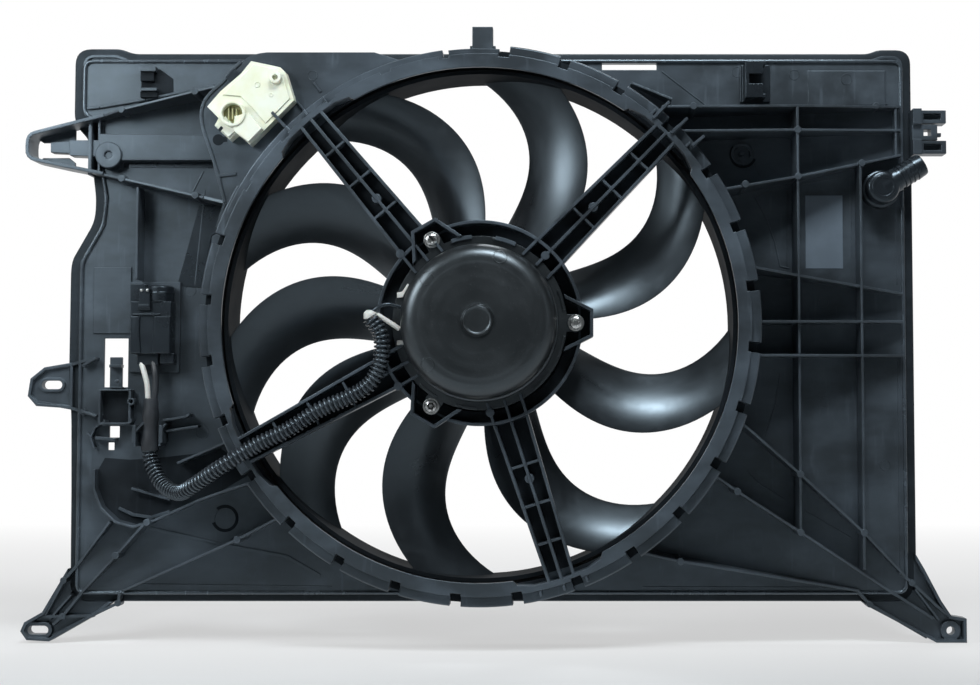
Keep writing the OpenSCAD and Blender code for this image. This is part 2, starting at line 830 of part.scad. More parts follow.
module connector_plug() {
    color("#1b1d20") upright() difference() {
        union() {
            slab(connector_back, connector_back + connector_d - 1) translate([-272, -30])
                square([24, 30]);
            slab(connector_back, connector_back + connector_d - 5) translate([-278, -26])
                square([6, 22]);
            slab(connector_back, connector_back + connector_d + 1) translate([-253, -32])
                square([8, 6]);
        }
        slab(connector_back + connector_d - 3, 60) translate([-266, -24]) square([5, 20]);
    }
}

module connector_latch() {
    top = connector_back + connector_d;
    color("#2f3338") upright() {
        slab(top - 2, top + 3) translate([-266.5, 13]) square([5, 12]);
        slab(top - 3, top + 2) translate([-265.5, -23]) square([4, 18]);
    }
}

// Two wires between the plug and the heat-shrink sleeve
module plug_wires() {
    color("#e8e8e8") upright() for (x = [-269, -257])
        sweep(smooth_path([[x, -30, 25], [x + 1, -40, 26], [plug_end[0] + (x + 263) / 2.2, -50, 26.5],
            [plug_end[0] + (x + 263) / 2.2, -57, plug_end[2]]], 4), wire_r, 8);
}

module heat_shrink() {
    color("#202327") upright()
        sweep([plug_end + [0, 38, 0], plug_end + [0, 28, 0], plug_end], conduit_r - 0.3, 12);
}

module cable_cradle() {
    color("#24282d") upright() {
        for (x = [-275, -254]) slab(panel_front, 32) translate([x, -92]) square([3, 14]);
        slab(panel_front, 20.5) translate([-275, -92]) square([24, 14]);
    }
}

module conduit() {
    color("#1d1f22") upright() sweep(smooth_path(conduit_route, 4), conduit_r, 12);
}

module conduit_sleeve() {
    color("#dfe0df") upright() sweep([
        motor_end + [0, 0.2, 0], motor_end + [1, 3, 0], motor_end + [4, 7, 0]
    ], 4.6, 12);
}

module motor_leads() {
    start = motor_end + [4, 7.2, 0];
    color("#d8d8d8") upright() {
        sweep(smooth_path([start + [2, -1.2, 0], start + [7, 0, 0], start + [12, -1, -1],
            [-60.5, 8, 78]], 4), wire_r, 8);
        sweep(smooth_path([start + [-1.6, 1.6, 0], start + [3, 7, 0], start + [10, 10, -1],
            [-57.5, 20.5, 78.4]], 4), wire_r, 8);
    }
}

module lead_terminals() {
    color("#e6e6e2") upright() {
        slab(flange_front_h, flange_front_h + 5) difference() {
            for (z = [20, -17]) translate([-can_r - 6, z]) square([9, 6]);
            circle(can_r);
        }
    }
}

module wire_clip() {
    color("#15171a") upright() {
        slab(panel_front, panel_front + 4) translate([206, 181]) square([24, 30]);
        slab(panel_front + 4, 36) translate([208, 181]) difference() {
            square([16, 29]);
            translate([3, 3]) square([14, 23]);
        }
        slab(32, 36) translate([208, 184]) square([14, 8]);
        slab(32, 36) translate([208, 200]) square([14, 7]);
    }
}

// Short hose elbow with a barbed spigot
module hose_elbow() {
    seat = [317, 110, panel_front];
    color("#1d1f22") upright() translate(seat) {
        cylinder(r = elbow_r, h = 9);
        translate([0, 0, 9]) cylinder(r = elbow_r - 2, h = 9);
        translate([0, 0, 18]) cylinder(r1 = elbow_r - 2, r2 = elbow_r - 6, h = 3);
        translate([0, 0, 11.5]) rotate([0, 0, 31]) rotate([0, 90, 0]) {
            cylinder(r = spigot_r, h = 35);
            for (i = [0 : 3]) translate([0, 0, 15 + 5 * i])
                cylinder(r1 = spigot_r + 1.2, r2 = spigot_r, h = 4);
        }
    }
}

// Half section of the motor can: wall, rounded shoulder and dome
function can_arc(r, round_r, n) = [for (i = [0 : n])
    [r - round_r + round_r * cos(90 * i / n), can_front - 3 - round_r + round_r * sin(90 * i / n)]];

module motor_can() {
    inner_top = can_front - 3 - can_wall;
    color("#15171a") upright() rotate_extrude() polygon(concat(
        [[can_in, can_back], [can_r, can_back]], can_arc(can_r, dome_round, 6),
        [[can_r - dome_round - 2, can_front - 3], [can_r - dome_round - 4, can_front - 1.6],
            [cap_r + 6, can_front - 1], [cap_r + 4, can_front], [cap_r + 1.5, can_front],
            [cap_r, can_front - 0.6], [cap_r - 1, can_front + 1], [0, can_front + 1.4]],
        [[0, can_front - can_wall], [bearing_r, can_front - can_wall],
            [bearing_r, front_bearing_back], [bearing_r + 2, front_bearing_back],
            [bearing_r + 3, inner_top - 2], [can_r - dome_round, inner_top],
            [can_r - 7, inner_top - 3], [can_in, inner_top - dome_round + 2]]
    ));
}

// Mounting flange with three eared screw holes and vent bars
module motor_flange() {
    color("#1d2023") upright() {
        difference() {
            slab(seat_h, flange_front_h) union() {
                circle(flange_r);
                for (i = [0 : screw_count - 1]) rotate([0, 0, 360 * i / screw_count]) {
                    translate([screw_circle, 0]) circle(6.5);
                    translate([flange_r - 8, -6.5]) square([screw_circle - flange_r + 8, 13]);
                }
            }
            cylinder(r = can_r, h = 200);
            for (i = [0 : screw_count - 1]) rotate([0, 0, 360 * i / screw_count])
                translate([screw_circle, 0, 0]) cylinder(r = screw_hole_r, h = 200);
        }
        for (a = [16, 74, 103, 233, 261, 316, 344]) rotate([0, 0, a])
            slab(flange_front_h - 0.5, flange_front_h + 1.2) intersection() {
                difference() {
                    circle(flange_r - 0.5);
                    circle(flange_r - 2.5);
                }
                polygon([[0, 0], [80, -10], [80, 10]]);
            }
    }
}

module motor_end_plate() {
    color("#8a8d90") upright() difference() {
        union() {
            tube(shaft_bore + 1, can_in, can_back, can_back + 3);
            tube(shaft_bore + 1, bearing_r + 3, can_back, can_back + 3 + bearing_w);
        }
        slab(can_back + 3, 200) circle(bearing_r);
        for (i = [0 : 5]) rotate([0, 0, 60 * i]) translate([36, 0, can_back - 1])
            cylinder(r = 7, h = 10);
    }
}

module motor_screws() {
    color("#c8cacc") upright() for (i = [0 : screw_count - 1]) rotate([0, 0, 360 * i / screw_count])
        translate([screw_circle, 0, 0]) {
            translate([0, 0, carrier_back]) cylinder(r = 2, h = flange_front_h - carrier_back);
            difference() {
                union() {
                    translate([0, 0, flange_front_h]) cylinder(r = 6.3, h = 1.2);
                    translate([0, 0, flange_front_h + 1.2]) cylinder(r = 4.8, h = 2.6);
                }
                translate([0, 0, flange_front_h + 2]) cylinder(r = 2.4, h = 5, $fn = 6);
            }
        }
}

module magnets() {
    color("#4a4c4f") upright() intersection() {
        tube(magnet_in, can_in, stack_back - 2, stack_front + 2);
        for (a = [0, 90, 180, 270]) rotate([0, 0, a + 45])
            slab(0, 200) polygon([[0, 0], [90, -68], [90, 68]]);
    }
}

module brush_card() {
    color("#8c7a45") upright() difference() {
        tube(comm_r + 2, can_in, card_back, card_back + card_t);
        for (a = [0, 90, 180, 270]) rotate([0, 0, a]) slab(0, 200) translate([30, 8]) square([9, 9]);
    }
}

// Four carbon brushes in their guides on the card
module brushes() {
    color("#3a3a3c") upright() for (a = [0, 90, 180, 270]) rotate([0, 0, a])
        translate([comm_r + 0.4, -3, card_back + card_t]) cube([brush_l, 6, 7]);
}

module brush_springs() {
    color("#b9bcc0") upright() for (a = [0, 90, 180, 270]) rotate([0, 0, a])
        translate([comm_r + 0.4 + brush_l, 0, card_back + card_t + 3.5]) rotate([0, 90, 0])
            difference() {
                cylinder(r = 3, h = 8);
                translate([0, 0, -1]) cylinder(r = 1.8, h = 12);
            }
}

// Ball bearing drawn as two races and the balls between them
module ball_bearing(back) {
    translate([0, 0, back]) {
        tube(shaft_bore, shaft_r + 2, 0, bearing_w);
        tube(bearing_r - 2, bearing_r, 0, bearing_w);
        tube(shaft_r + 2, bearing_r - 2, 1.5, bearing_w - 1.5);
    }
}

module front_bearing() {
    color("#b9bcc0") upright() ball_bearing(front_bearing_back);
}

module rear_bearing() {
    color("#b9bcc0") upright() ball_bearing(can_back + 3);
}

// Cup that the blades stand on, with a web, a shaft boss and stiffening ribs
module fan_hub() {
    color("#1a1c1f") upright() {
        rotate_extrude() polygon([
            [shaft_r, hub_back - 3], [14, hub_back - 3], [17, hub_back], [hub_r - 4, hub_back],
            [hub_r, hub_back + 4], [hub_r, hub_front], [hub_r - hub_wall, hub_front],
            [hub_r - hub_wall, hub_back + 5], [hub_r - 5, hub_back + hub_wall],
            [12, hub_back + hub_wall], [12, can_back - 2], [shaft_r, can_back - 2]
        ]);
        for (i = [0 : 11]) rotate([0, 0, 30 * i + 15])
            translate([11, -0.9, hub_back + 1]) cube([hub_r - 17, 1.8, can_back - hub_back - 4]);
    }
}

// Station along the blade, 0 at the hub and 1 at the band
function blade_mid(s) = blade_sweep * (s - 0.21) * (s - 0.21);
function blade_chord(s) = chord_tip + (chord_root - chord_tip) * pow(1 - s, 2.2);
function blade_depth(s) = blade_depth_root + (blade_depth_tip - blade_depth_root) * s;
function blade_height(s, t) = (hub_back + hub_front) / 2 + blade_depth(s) * (0.5 - t)
    + 5 * sin(180 * t) * (1 - 0.4 * s) - 2;
function blade_half_t(s, t) = blade_t / 2 * (0.3 + 0.7 * sin(180 * pow(t, 0.8))) * (1 - 0.25 * s);
function blade_point(s, t, side) = let (
    r = hub_r - 0.5 + s * (band_r + 0.5 - hub_r + 0.5),
    a = blade_mid(s) + (t - 0.5) * blade_chord(s)
) [r * cos(a), r * sin(a), blade_height(s, t) + side * blade_half_t(s, t)];

// One swept, twisted and cambered blade
module blade(stations = 9, across = 8) {
    loop = 2 * (across + 1);
    points = [for (i = [0 : stations]) each concat(
        [for (j = [0 : across]) blade_point(i / stations, j / across, 1)],
        [for (j = [across : -1 : 0]) blade_point(i / stations, j / across, -1)]
    )];
    skin = [for (i = [0 : stations - 1], k = [0 : loop - 1])
        each let (n = (k + 1) % loop, a = i * loop, b = a + loop)
            [[a + k, a + n, b + n], [a + k, b + n, b + k]]];
    root = [for (j = [0 : across - 1]) each
        [[j + 1, j, loop - 1 - j], [j + 1, loop - 1 - j, loop - 2 - j]]];
    tip = [for (j = [0 : across - 1]) each let (b = stations * loop)
        [[b + j, b + j + 1, b + loop - 2 - j], [b + j, b + loop - 2 - j, b + loop - 1 - j]]];
    polyhedron(points = points, faces = concat(skin, root, tip), convexity = 6);
}

function blade_angle(i) = blade_first + 360 * i / blade_count
    + blade_uneven * sin(360 * i / blade_count + blade_phase);

module fan_blades() {
    color("#1a1c1f") upright() for (i = [0 : blade_count - 1]) rotate([0, 0, blade_angle(i)]) blade();
}

module fan_band() {
    color("#1a1c1f") upright() rotate_extrude() polygon([
        [band_r, band_back], [band_r + band_t, band_back], [band_r + band_t, band_front],
        [band_r - 0.8, band_front], [band_r - 0.8, band_front - 1.6], [band_r, band_front - 3]
    ]);
}

module motor_shaft() {
    color("#c0c3c6") upright() translate([0, 0, hub_back - 7])
        cylinder(r = shaft_r, h = can_front - can_wall - 0.5 - hub_back + 7);
}

// Slotted armature stack on the shaft
module armature_core() {
    color("#6b6e72") upright() difference() {
        tube(shaft_r, armature_r, stack_back, stack_front);
        for (i = [0 : slot_count - 1]) rotate([0, 0, 360 * i / slot_count])
            translate([24, -3, stack_back - 1]) cube([armature_r - 27, 6, armature_l + 2]);
    }
}

// Copper end turns at both faces of the stack
module armature_windings() {
    color("#b8672e") upright() {
        rotate_extrude() polygon([[24, stack_front], [46, stack_front], [43, stack_front + 6],
            [27, stack_front + 6]]);
        rotate_extrude() polygon([[24, stack_back], [46, stack_back], [43, stack_back - 6],
            [27, stack_back - 6]]);
    }
}

module commutator() {
    color("#b8672e") upright() difference() {
        union() {
            tube(shaft_r, comm_r, comm_back, comm_front);
            tube(shaft_r, comm_r - 4, stack_front, comm_back);
        }
        for (i = [0 : slot_count - 1]) rotate([0, 0, 360 * i / slot_count])
            translate([comm_r - 1.2, -0.4, comm_back - 1]) cube([3, 0.8, comm_l + 2]);
    }
}

module hub_nut() {
    color("#c0c3c6") upright() difference() {
        translate([0, 0, hub_back - 7]) cylinder(r = 9, h = 4, $fn = 6);
        cylinder(r = shaft_r, h = 200);
    }
}

panel_left();
panel_right();
rim_top();
rim_bottom();
rim_left();
rim_right();
fan_barrel();
ring_face();
spoke_upper_right();
spoke_upper_left();
spoke_lower_left();
spoke_bottom();
motor_carrier();
ear_upper_left();
ear_side_left();
foot_lower_left();
foot_lower_right();
fork_upper_right();
top_tab();
ribs_left();
cable_trough();
ribs_right();
ribs_upright();
module_platform();
control_module();
module_terminals();
module_clip();
connector_rail();
connector_socket();
connector_plug();
connector_latch();
plug_wires();
heat_shrink();
cable_cradle();
conduit();
conduit_sleeve();
motor_leads();
lead_terminals();
wire_clip();
hose_elbow();
motor_can();
motor_flange();
motor_end_plate();
motor_screws();
magnets();
brush_card();
brushes();
brush_springs();
front_bearing();
rear_bearing();
fan_hub();
fan_blades();
fan_band();
motor_shaft();
armature_core();
armature_windings();
commutator();
hub_nut();
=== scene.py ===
import json
import math

import bmesh
import bpy
from bpy.props import FloatProperty, FloatVectorProperty, IntProperty, PointerProperty
from mathutils import Matrix, Vector


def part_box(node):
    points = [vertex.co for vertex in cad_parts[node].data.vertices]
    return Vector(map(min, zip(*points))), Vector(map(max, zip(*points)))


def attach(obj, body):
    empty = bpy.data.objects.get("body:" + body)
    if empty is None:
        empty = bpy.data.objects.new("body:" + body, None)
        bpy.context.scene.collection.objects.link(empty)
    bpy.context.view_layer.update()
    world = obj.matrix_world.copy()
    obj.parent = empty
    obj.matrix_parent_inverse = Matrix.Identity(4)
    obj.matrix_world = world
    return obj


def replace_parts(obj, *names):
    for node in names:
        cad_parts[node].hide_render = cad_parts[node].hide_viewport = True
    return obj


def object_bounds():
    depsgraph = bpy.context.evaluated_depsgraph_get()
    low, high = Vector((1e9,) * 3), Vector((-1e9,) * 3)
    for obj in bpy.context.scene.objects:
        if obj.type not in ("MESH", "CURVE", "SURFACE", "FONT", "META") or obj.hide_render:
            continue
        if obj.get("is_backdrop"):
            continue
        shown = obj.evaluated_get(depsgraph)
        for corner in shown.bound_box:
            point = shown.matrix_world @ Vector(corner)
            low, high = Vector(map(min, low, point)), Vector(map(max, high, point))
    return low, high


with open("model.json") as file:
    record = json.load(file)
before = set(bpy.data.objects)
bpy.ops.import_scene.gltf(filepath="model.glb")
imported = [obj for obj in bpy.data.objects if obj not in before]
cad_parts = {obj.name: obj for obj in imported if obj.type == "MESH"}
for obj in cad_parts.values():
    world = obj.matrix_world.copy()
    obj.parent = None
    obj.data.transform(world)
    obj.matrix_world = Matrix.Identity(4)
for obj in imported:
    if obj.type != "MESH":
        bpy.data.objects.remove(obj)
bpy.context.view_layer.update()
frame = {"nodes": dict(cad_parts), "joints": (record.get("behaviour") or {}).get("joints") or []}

bl_info = {
    "name": "Radiator fan module",
    "version": (1, 0, 0),
    "blender": (4, 5, 0),
    "location": "View3D > Sidebar > Fan module",
    "description": "Dresses the packed radiator fan: finishes, rounded mouldings, blades, conduit and stage",
    "category": "Object",
}

NODES = frame["nodes"]
SPIN = Vector(frame["joints"][0]["pos_m"])
EDGE_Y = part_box("rim_top")[1].y
MM = 0.001

# Depths in mm in front of the radiator edge, as the source has them
FLANGE_ROOT = 8.4
ROOT = 14.0
SKIN = 14.5
PLATFORM = 52.0
CARRIER = 60.0
LUGS = 71.5
DOME = 104.0

# Angles in degrees about the motor axis, and the count of the ring's blocks
SPOKES = (45.7, 129.7, 208.5, 287.8)
BLOCKS, FIRST_GAP = 28, 7.9


def place(x, z, h):
    """A point of the drawing, in mm from the motor axis and the radiator edge, in the frame's metres."""
    return Vector((SPIN.x + x * MM, EDGE_Y - h * MM, SPIN.z + z * MM))


def polar(radius, angle):
    """A point of the drawing at a radius from the motor axis and an angle in degrees."""
    a = math.radians(angle)
    return Vector((radius * math.cos(a), radius * math.sin(a)))


def out_and_across(angle):
    """The directions away from the motor axis and at right angles to that, at an angle in degrees."""
    out = polar(1, angle)
    return out, Vector((-out.y, out.x))


def circle(radius, count, wave=0.0, turn=0.0):
    """Points round a circle, or round a six-lobed one where a wave is asked."""
    made = []
    for k in range(count):
        t = 2 * math.pi * k / count
        size = radius * (1 + wave * math.cos(6 * t))
        made.append((size * math.cos(t + turn), size * math.sin(t + turn)))
    return made


# Finishes


class Value:
    """A shader socket that takes part in Python expressions and adds its own nodes."""

    def __init__(self, shade, socket):
        self.shade = shade
        self.socket = socket

    @property
    def is_vector(self):
        return self.socket.type in {"VECTOR", "RGBA"}

    def _with(self, operation, other, swapped=False):
        """Adds the math node of an operation, a vector one where either side is a vector."""
        a, b = (other, self) if swapped else (self, other)
        many = self.is_vector or isinstance(other, (tuple, Vector))
        many = many or (isinstance(other, Value) and other.is_vector)
        kind = "ShaderNodeVectorMath" if many else "ShaderNodeMath"
        return self.shade.add(kind, {"operation": operation}, {0: a, 1: b})

    def __add__(self, other):
        return self._with("ADD", other)

    def __sub__(self, other):
        return self._with("SUBTRACT", other)

    def __mul__(self, other):
        return self._with("MULTIPLY", other)

    def __truediv__(self, other):
        return self._with("DIVIDE", other)

    def __radd__(self, other):
        return self._with("ADD", other, True)

    def __rsub__(self, other):
        return self._with("SUBTRACT", other, True)

    def __rmul__(self, other):
        return self._with("MULTIPLY", other, True)

    def __rtruediv__(self, other):
        return self._with("DIVIDE", other, True)


class Shade:
    """One material or world under construction, with its nodes made through add()."""

    def __init__(self, name, world=False):
        self.material = (bpy.data.worlds if world else bpy.data.materials).new(name)
        self.material.use_nodes = True
        self.tree = self.material.node_tree
        self.tree.nodes.clear()
        self.out = self.tree.nodes.new("ShaderNodeOutputWorld" if world else "ShaderNodeOutputMaterial")
        self.body = self.tree.nodes.new("ShaderNodeBackground" if world else "ShaderNodeBsdfPrincipled")
        self.tree.links.new(self.body.outputs[0], self.out.inputs[0])
        self.spot = self.add("ShaderNodeTexCoord", out="Object")

    def add(self, kind, settings=None, inputs=None, out=0):
        """Adds a node: its settings first, then the values or links of its sockets."""
        node = self.tree.nodes.new(kind)
        for key, value in (settings or {}).items():
            if key == "stops":
                ramp = node.color_ramp.elements
                while len(ramp) < len(value):
                    ramp.new(0.5)
                for stop, (position, colour) in zip(ramp, value):
                    stop.position = position
                    stop.color = colour if len(colour) == 4 else (*colour, 1)
            else:
                setattr(node, key, value)
        for key, value in (inputs or {}).items():
            self.put(node.inputs[key], value)
        return Value(self, node.outputs[out])

    def put(self, socket, value):
        """Links a value to a socket, or sets the number or colour on it."""
        if isinstance(value, Value):
            self.tree.links.new(value.socket, socket)
        elif isinstance(value, (int, float)) and socket.type == "VECTOR":
            socket.default_value = (value,) * 3
        elif socket.type == "RGBA" and len(value) == 3:
            socket.default_value = (*value, 1)
        else:
            socket.default_value = value

    def noise(self, scale, detail=3, rough=0.55, stretch=(1, 1, 1)):
        """Cloudy noise from 0 to 1 on the object's own coordinates."""
        where = self.spot * stretch if stretch != (1, 1, 1) else self.spot
        return self.add("ShaderNodeTexNoise", {"noise_dimensions": "3D"},
                        {"Vector": where, "Scale": scale, "Detail": detail, "Roughness": rough})

    def ramp(self, factor, low, high):
        """Maps a factor between two edges onto 0 to 1."""
        return self.add("ShaderNodeMapRange", {"clamp": True}, {
            "Value": factor, "From Min": low, "From Max": high, "To Min": 0.0, "To Max": 1.0})

    def mix(self, a, b, factor):
        """A colour between two colours."""
        return self.add("ShaderNodeMix", {"data_type": "RGBA"}, {0: factor, 6: a, 7: b}, 2)

    def larger(self, a, b):
        """The larger of two values."""
        return self.add("ShaderNodeMath", {"operation": "MAXIMUM"}, {0: a, 1: b})

    def ray(self, kind):
        """1 for rays of one kind, such as those of the camera."""
        return self.add("ShaderNodeLightPath", out="Is %s Ray" % kind)

    def bump(self, height, strength, distance, edge=0.0):
        """Feeds the shader's normal from a height, over rounded edges where asked."""
        inputs = {"Height": height, "Strength": strength, "Distance": distance}
        if edge:
            inputs["Normal"] = self.add("ShaderNodeBevel", {"samples": 4}, {"Radius": edge})
        self.set(Normal=self.add("ShaderNodeBump", inputs=inputs))

    def set(self, **sockets):
        """Sets or links the principled shader's own sockets, with spaces written as underlines."""
        for key, value in sockets.items():
            self.put(self.body.inputs[key.replace("_", " ")], value)


def toned(colour, by):
    """The colour made lighter or darker."""
    return [c * by for c in colour]


def moulded_plastic(name, colour, sheen, rough, grain=0.06, wax=0.10, shine=0.7):
    """Semi-gloss injection moulding: flow marks, fine grain, faint scuffs and a little dust."""
    s = Shade(name)
    flow = s.noise(9, 4, 0.6, (1, 0.4, 2.2))
    cloud = s.noise(34, 5, 0.62)
    scuff = s.ramp(s.noise(210, 2, 0.5, (1, 1, 0.12)), 0.62, 0.74)
    dust = s.ramp(cloud, 0.50, 0.80)
    tint = s.mix(colour, sheen, s.ramp(flow, 0.42, 0.72) * 0.75)
    tint = s.mix(tint, toned(sheen, 1.7), dust * 0.22)
    s.set(Base_Color=s.mix(tint, toned(sheen, 1.6), scuff * 0.16))
    s.set(Roughness=rough + (cloud - 0.5) * wax * 2 + scuff * 0.06 + dust * 0.05)
    s.set(Specular_IOR_Level=shine, IOR=1.49, Specular_Tint=(0.70, 0.87, 1.0))
    s.bump(s.noise(1500, 2, 0.5) * 0.5 + s.noise(55, 3, 0.5) * 1.6, grain, 0.0006, 0.0005)
    return s.material


def gloss_plastic(name, colour, rough):
    """Glossy filled plastic of the fan, with long flow streaks along each blade."""
    s = Shade(name)
    pale = (0.025, 0.029, 0.033)
    away = s.spot - tuple(SPIN)
    ring = s.add("ShaderNodeVectorMath", {"operation": "LENGTH"}, {0: away * (1, 0, 1)}, "Value")
    streak = s.add("ShaderNodeTexNoise", {"noise_dimensions": "3D"}, {
        "Vector": away * (1, 3, 1), "Scale": 16.0, "Detail": 4.0, "Roughness": 0.6, "Distortion": 1.4})
    dust = s.ramp(s.noise(90, 4, 0.65), 0.52, 0.78)
    outer = s.ramp(ring, 0.085, 0.19)
    s.set(Base_Color=s.mix(colour, pale, s.ramp(streak, 0.45, 0.75) * 0.5 + dust * 0.16))
    s.set(Roughness=rough + (streak - 0.5) * 0.20 + dust * 0.07 + outer * 0.03)
    s.set(Specular_IOR_Level=0.85, IOR=1.5, Specular_Tint=(0.72, 0.88, 1.0))
    s.bump(s.noise(900, 2) * 0.3 + streak * 1.4, 0.07, 0.0006, 0.0004)
    return s.material


def painted_steel(name, colour, rough):
    """Black paint on drawn steel: orange peel and a light haze."""
    s = Shade(name)
    cloud = s.noise(26, 5, 0.62)
    speck = s.ramp(s.noise(700, 2, 0.5), 0.66, 0.74)
    haze = s.ramp(cloud, 0.42, 0.74)
    s.set(Base_Color=s.mix(s.mix(colour, toned(colour, 2.3), haze), (0.12, 0.125, 0.13), speck * 0.22))
    s.set(Roughness=rough + (cloud - 0.5) * 0.20 + speck * 0.1)
    s.set(Specular_IOR_Level=1.0, Specular_Tint=(0.78, 0.91, 1.0))
    s.bump(s.noise(420, 3, 0.6), 0.10, 0.0006, 0.0005)
    return s.material


def bare_metal(name, colour, rough, brushed=(1, 1, 1)):
    """Bare metal with fine tool marks and a few darker spots."""
    s = Shade(name)
    mark = s.noise(520, 3, 0.6, brushed)
    spot = s.ramp(s.noise(160, 4, 0.6), 0.55, 0.75)
    s.set(Base_Color=s.mix(colour, toned(colour, 0.45), spot * 0.5))
    s.set(Metallic=1.0, Roughness=rough + (mark - 0.5) * 0.2 + spot * 0.12)
    s.bump(mark, 0.12, 0.0003, 0.0003)
    return s.material


def pale_plastic(name, colour, deep, rough):
    """Pale unpainted plastic with yellower clouds at random."""
    s = Shade(name)
    cloud = s.noise(60, 4, 0.55)
    s.set(Base_Color=s.mix(colour, deep, s.ramp(cloud, 0.40, 0.75) * 0.55))
    s.set(Roughness=rough + (cloud - 0.5) * 0.2, Subsurface_Weight=0.06, Subsurface_Scale=0.004)
    s.bump(s.noise(800, 3, 0.6) + cloud * 0.8, 0.07, 0.0005, 0.0005)
    return s.material


def soft_rubber(name, colour, rough, wrinkle):
    """Flexible tube or sleeve: matt, with small wrinkles and handling marks."""
    s = Shade(name)
    fold = s.noise(240, 3, 0.6, (1, 1, 0.4))
    rub = s.ramp(s.noise(80, 4, 0.6), 0.48, 0.76)
    s.set(Base_Color=s.mix(colour, [c * 2.4 + 0.01 for c in colour], rub * 0.55))
    s.set(Roughness=rough + (fold - 0.5) * 0.25 + rub * 0.08)
    s.bump(fold, wrinkle, 0.0008, 0.0003)
    return s.material


def layered(name, colour, dark, pitch, metal):
    """Stacked or wound metal, striped along the motor axis."""
    s = Shade(name)
    along = s.add("ShaderNodeSeparateXYZ", inputs={0: s.spot}, out="Y")
    band = s.add("ShaderNodeMath", {"operation": "PINGPONG"}, {0: along, 1: pitch / 2}) / (pitch / 2)
    s.set(Base_Color=s.mix(dark, colour, s.ramp(band, 0.1, 0.6)))
    s.set(Metallic=metal, Roughness=0.35 + s.noise(300) * 0.2)
    s.bump(band, 0.25, 0.0002)
    return s.material


# Geometry in the flat drawing's millimetres


def smooth_points(points, steps):
    """A smooth curve through the listed points, as the CAD source draws it."""
    made = []
    last = len(points) - 1
    for i in range(last):
        a, b = points[max(i - 1, 0)], points[i]
        c, d = points[i + 1], points[min(i + 2, last)]
        for j in range(steps):
            t = j / steps
            made.append(0.5 * (2 * b + (c - a) * t + (2 * a - 5 * b + 4 * c - d) * t * t
                               + (3 * b - a - 3 * c + d) * t ** 3))
    made.append(points[-1])
    return made


def shifted(points, by):
    """A closed anticlockwise outline moved inward by a distance."""
    made = []
    for i, point in enumerate(points):
        a, b, c = Vector(points[i - 1]), Vector(point), Vector(points[(i + 1) % len(points)])
        before, after = (b - a).normalized(), (c - b).normalized()
        left = Vector((-before.y, before.x)) + Vector((-after.y, after.x))
        made.append(b + left / (1 + before.dot(after)) * by)
    return made


def rounded(points, radius, steps=6):
    """The outline with every corner drawn as a curve."""
    points = [Vector(p) for p in points]
    made = []
    for i, b in enumerate(points):
        a, c = points[i - 1], points[(i + 1) % len(points)]
        reach = min(radius, (b - a).length / 2.2, (c - b).length / 2.2)
        start, end = b + (a - b).normalized() * reach, b + (c - b).normalized() * reach
        for k in range(steps + 1):
            t = k / steps
            made.append(start * (1 - t) ** 2 + b * 2 * t * (1 - t) + end * t * t)
    return made


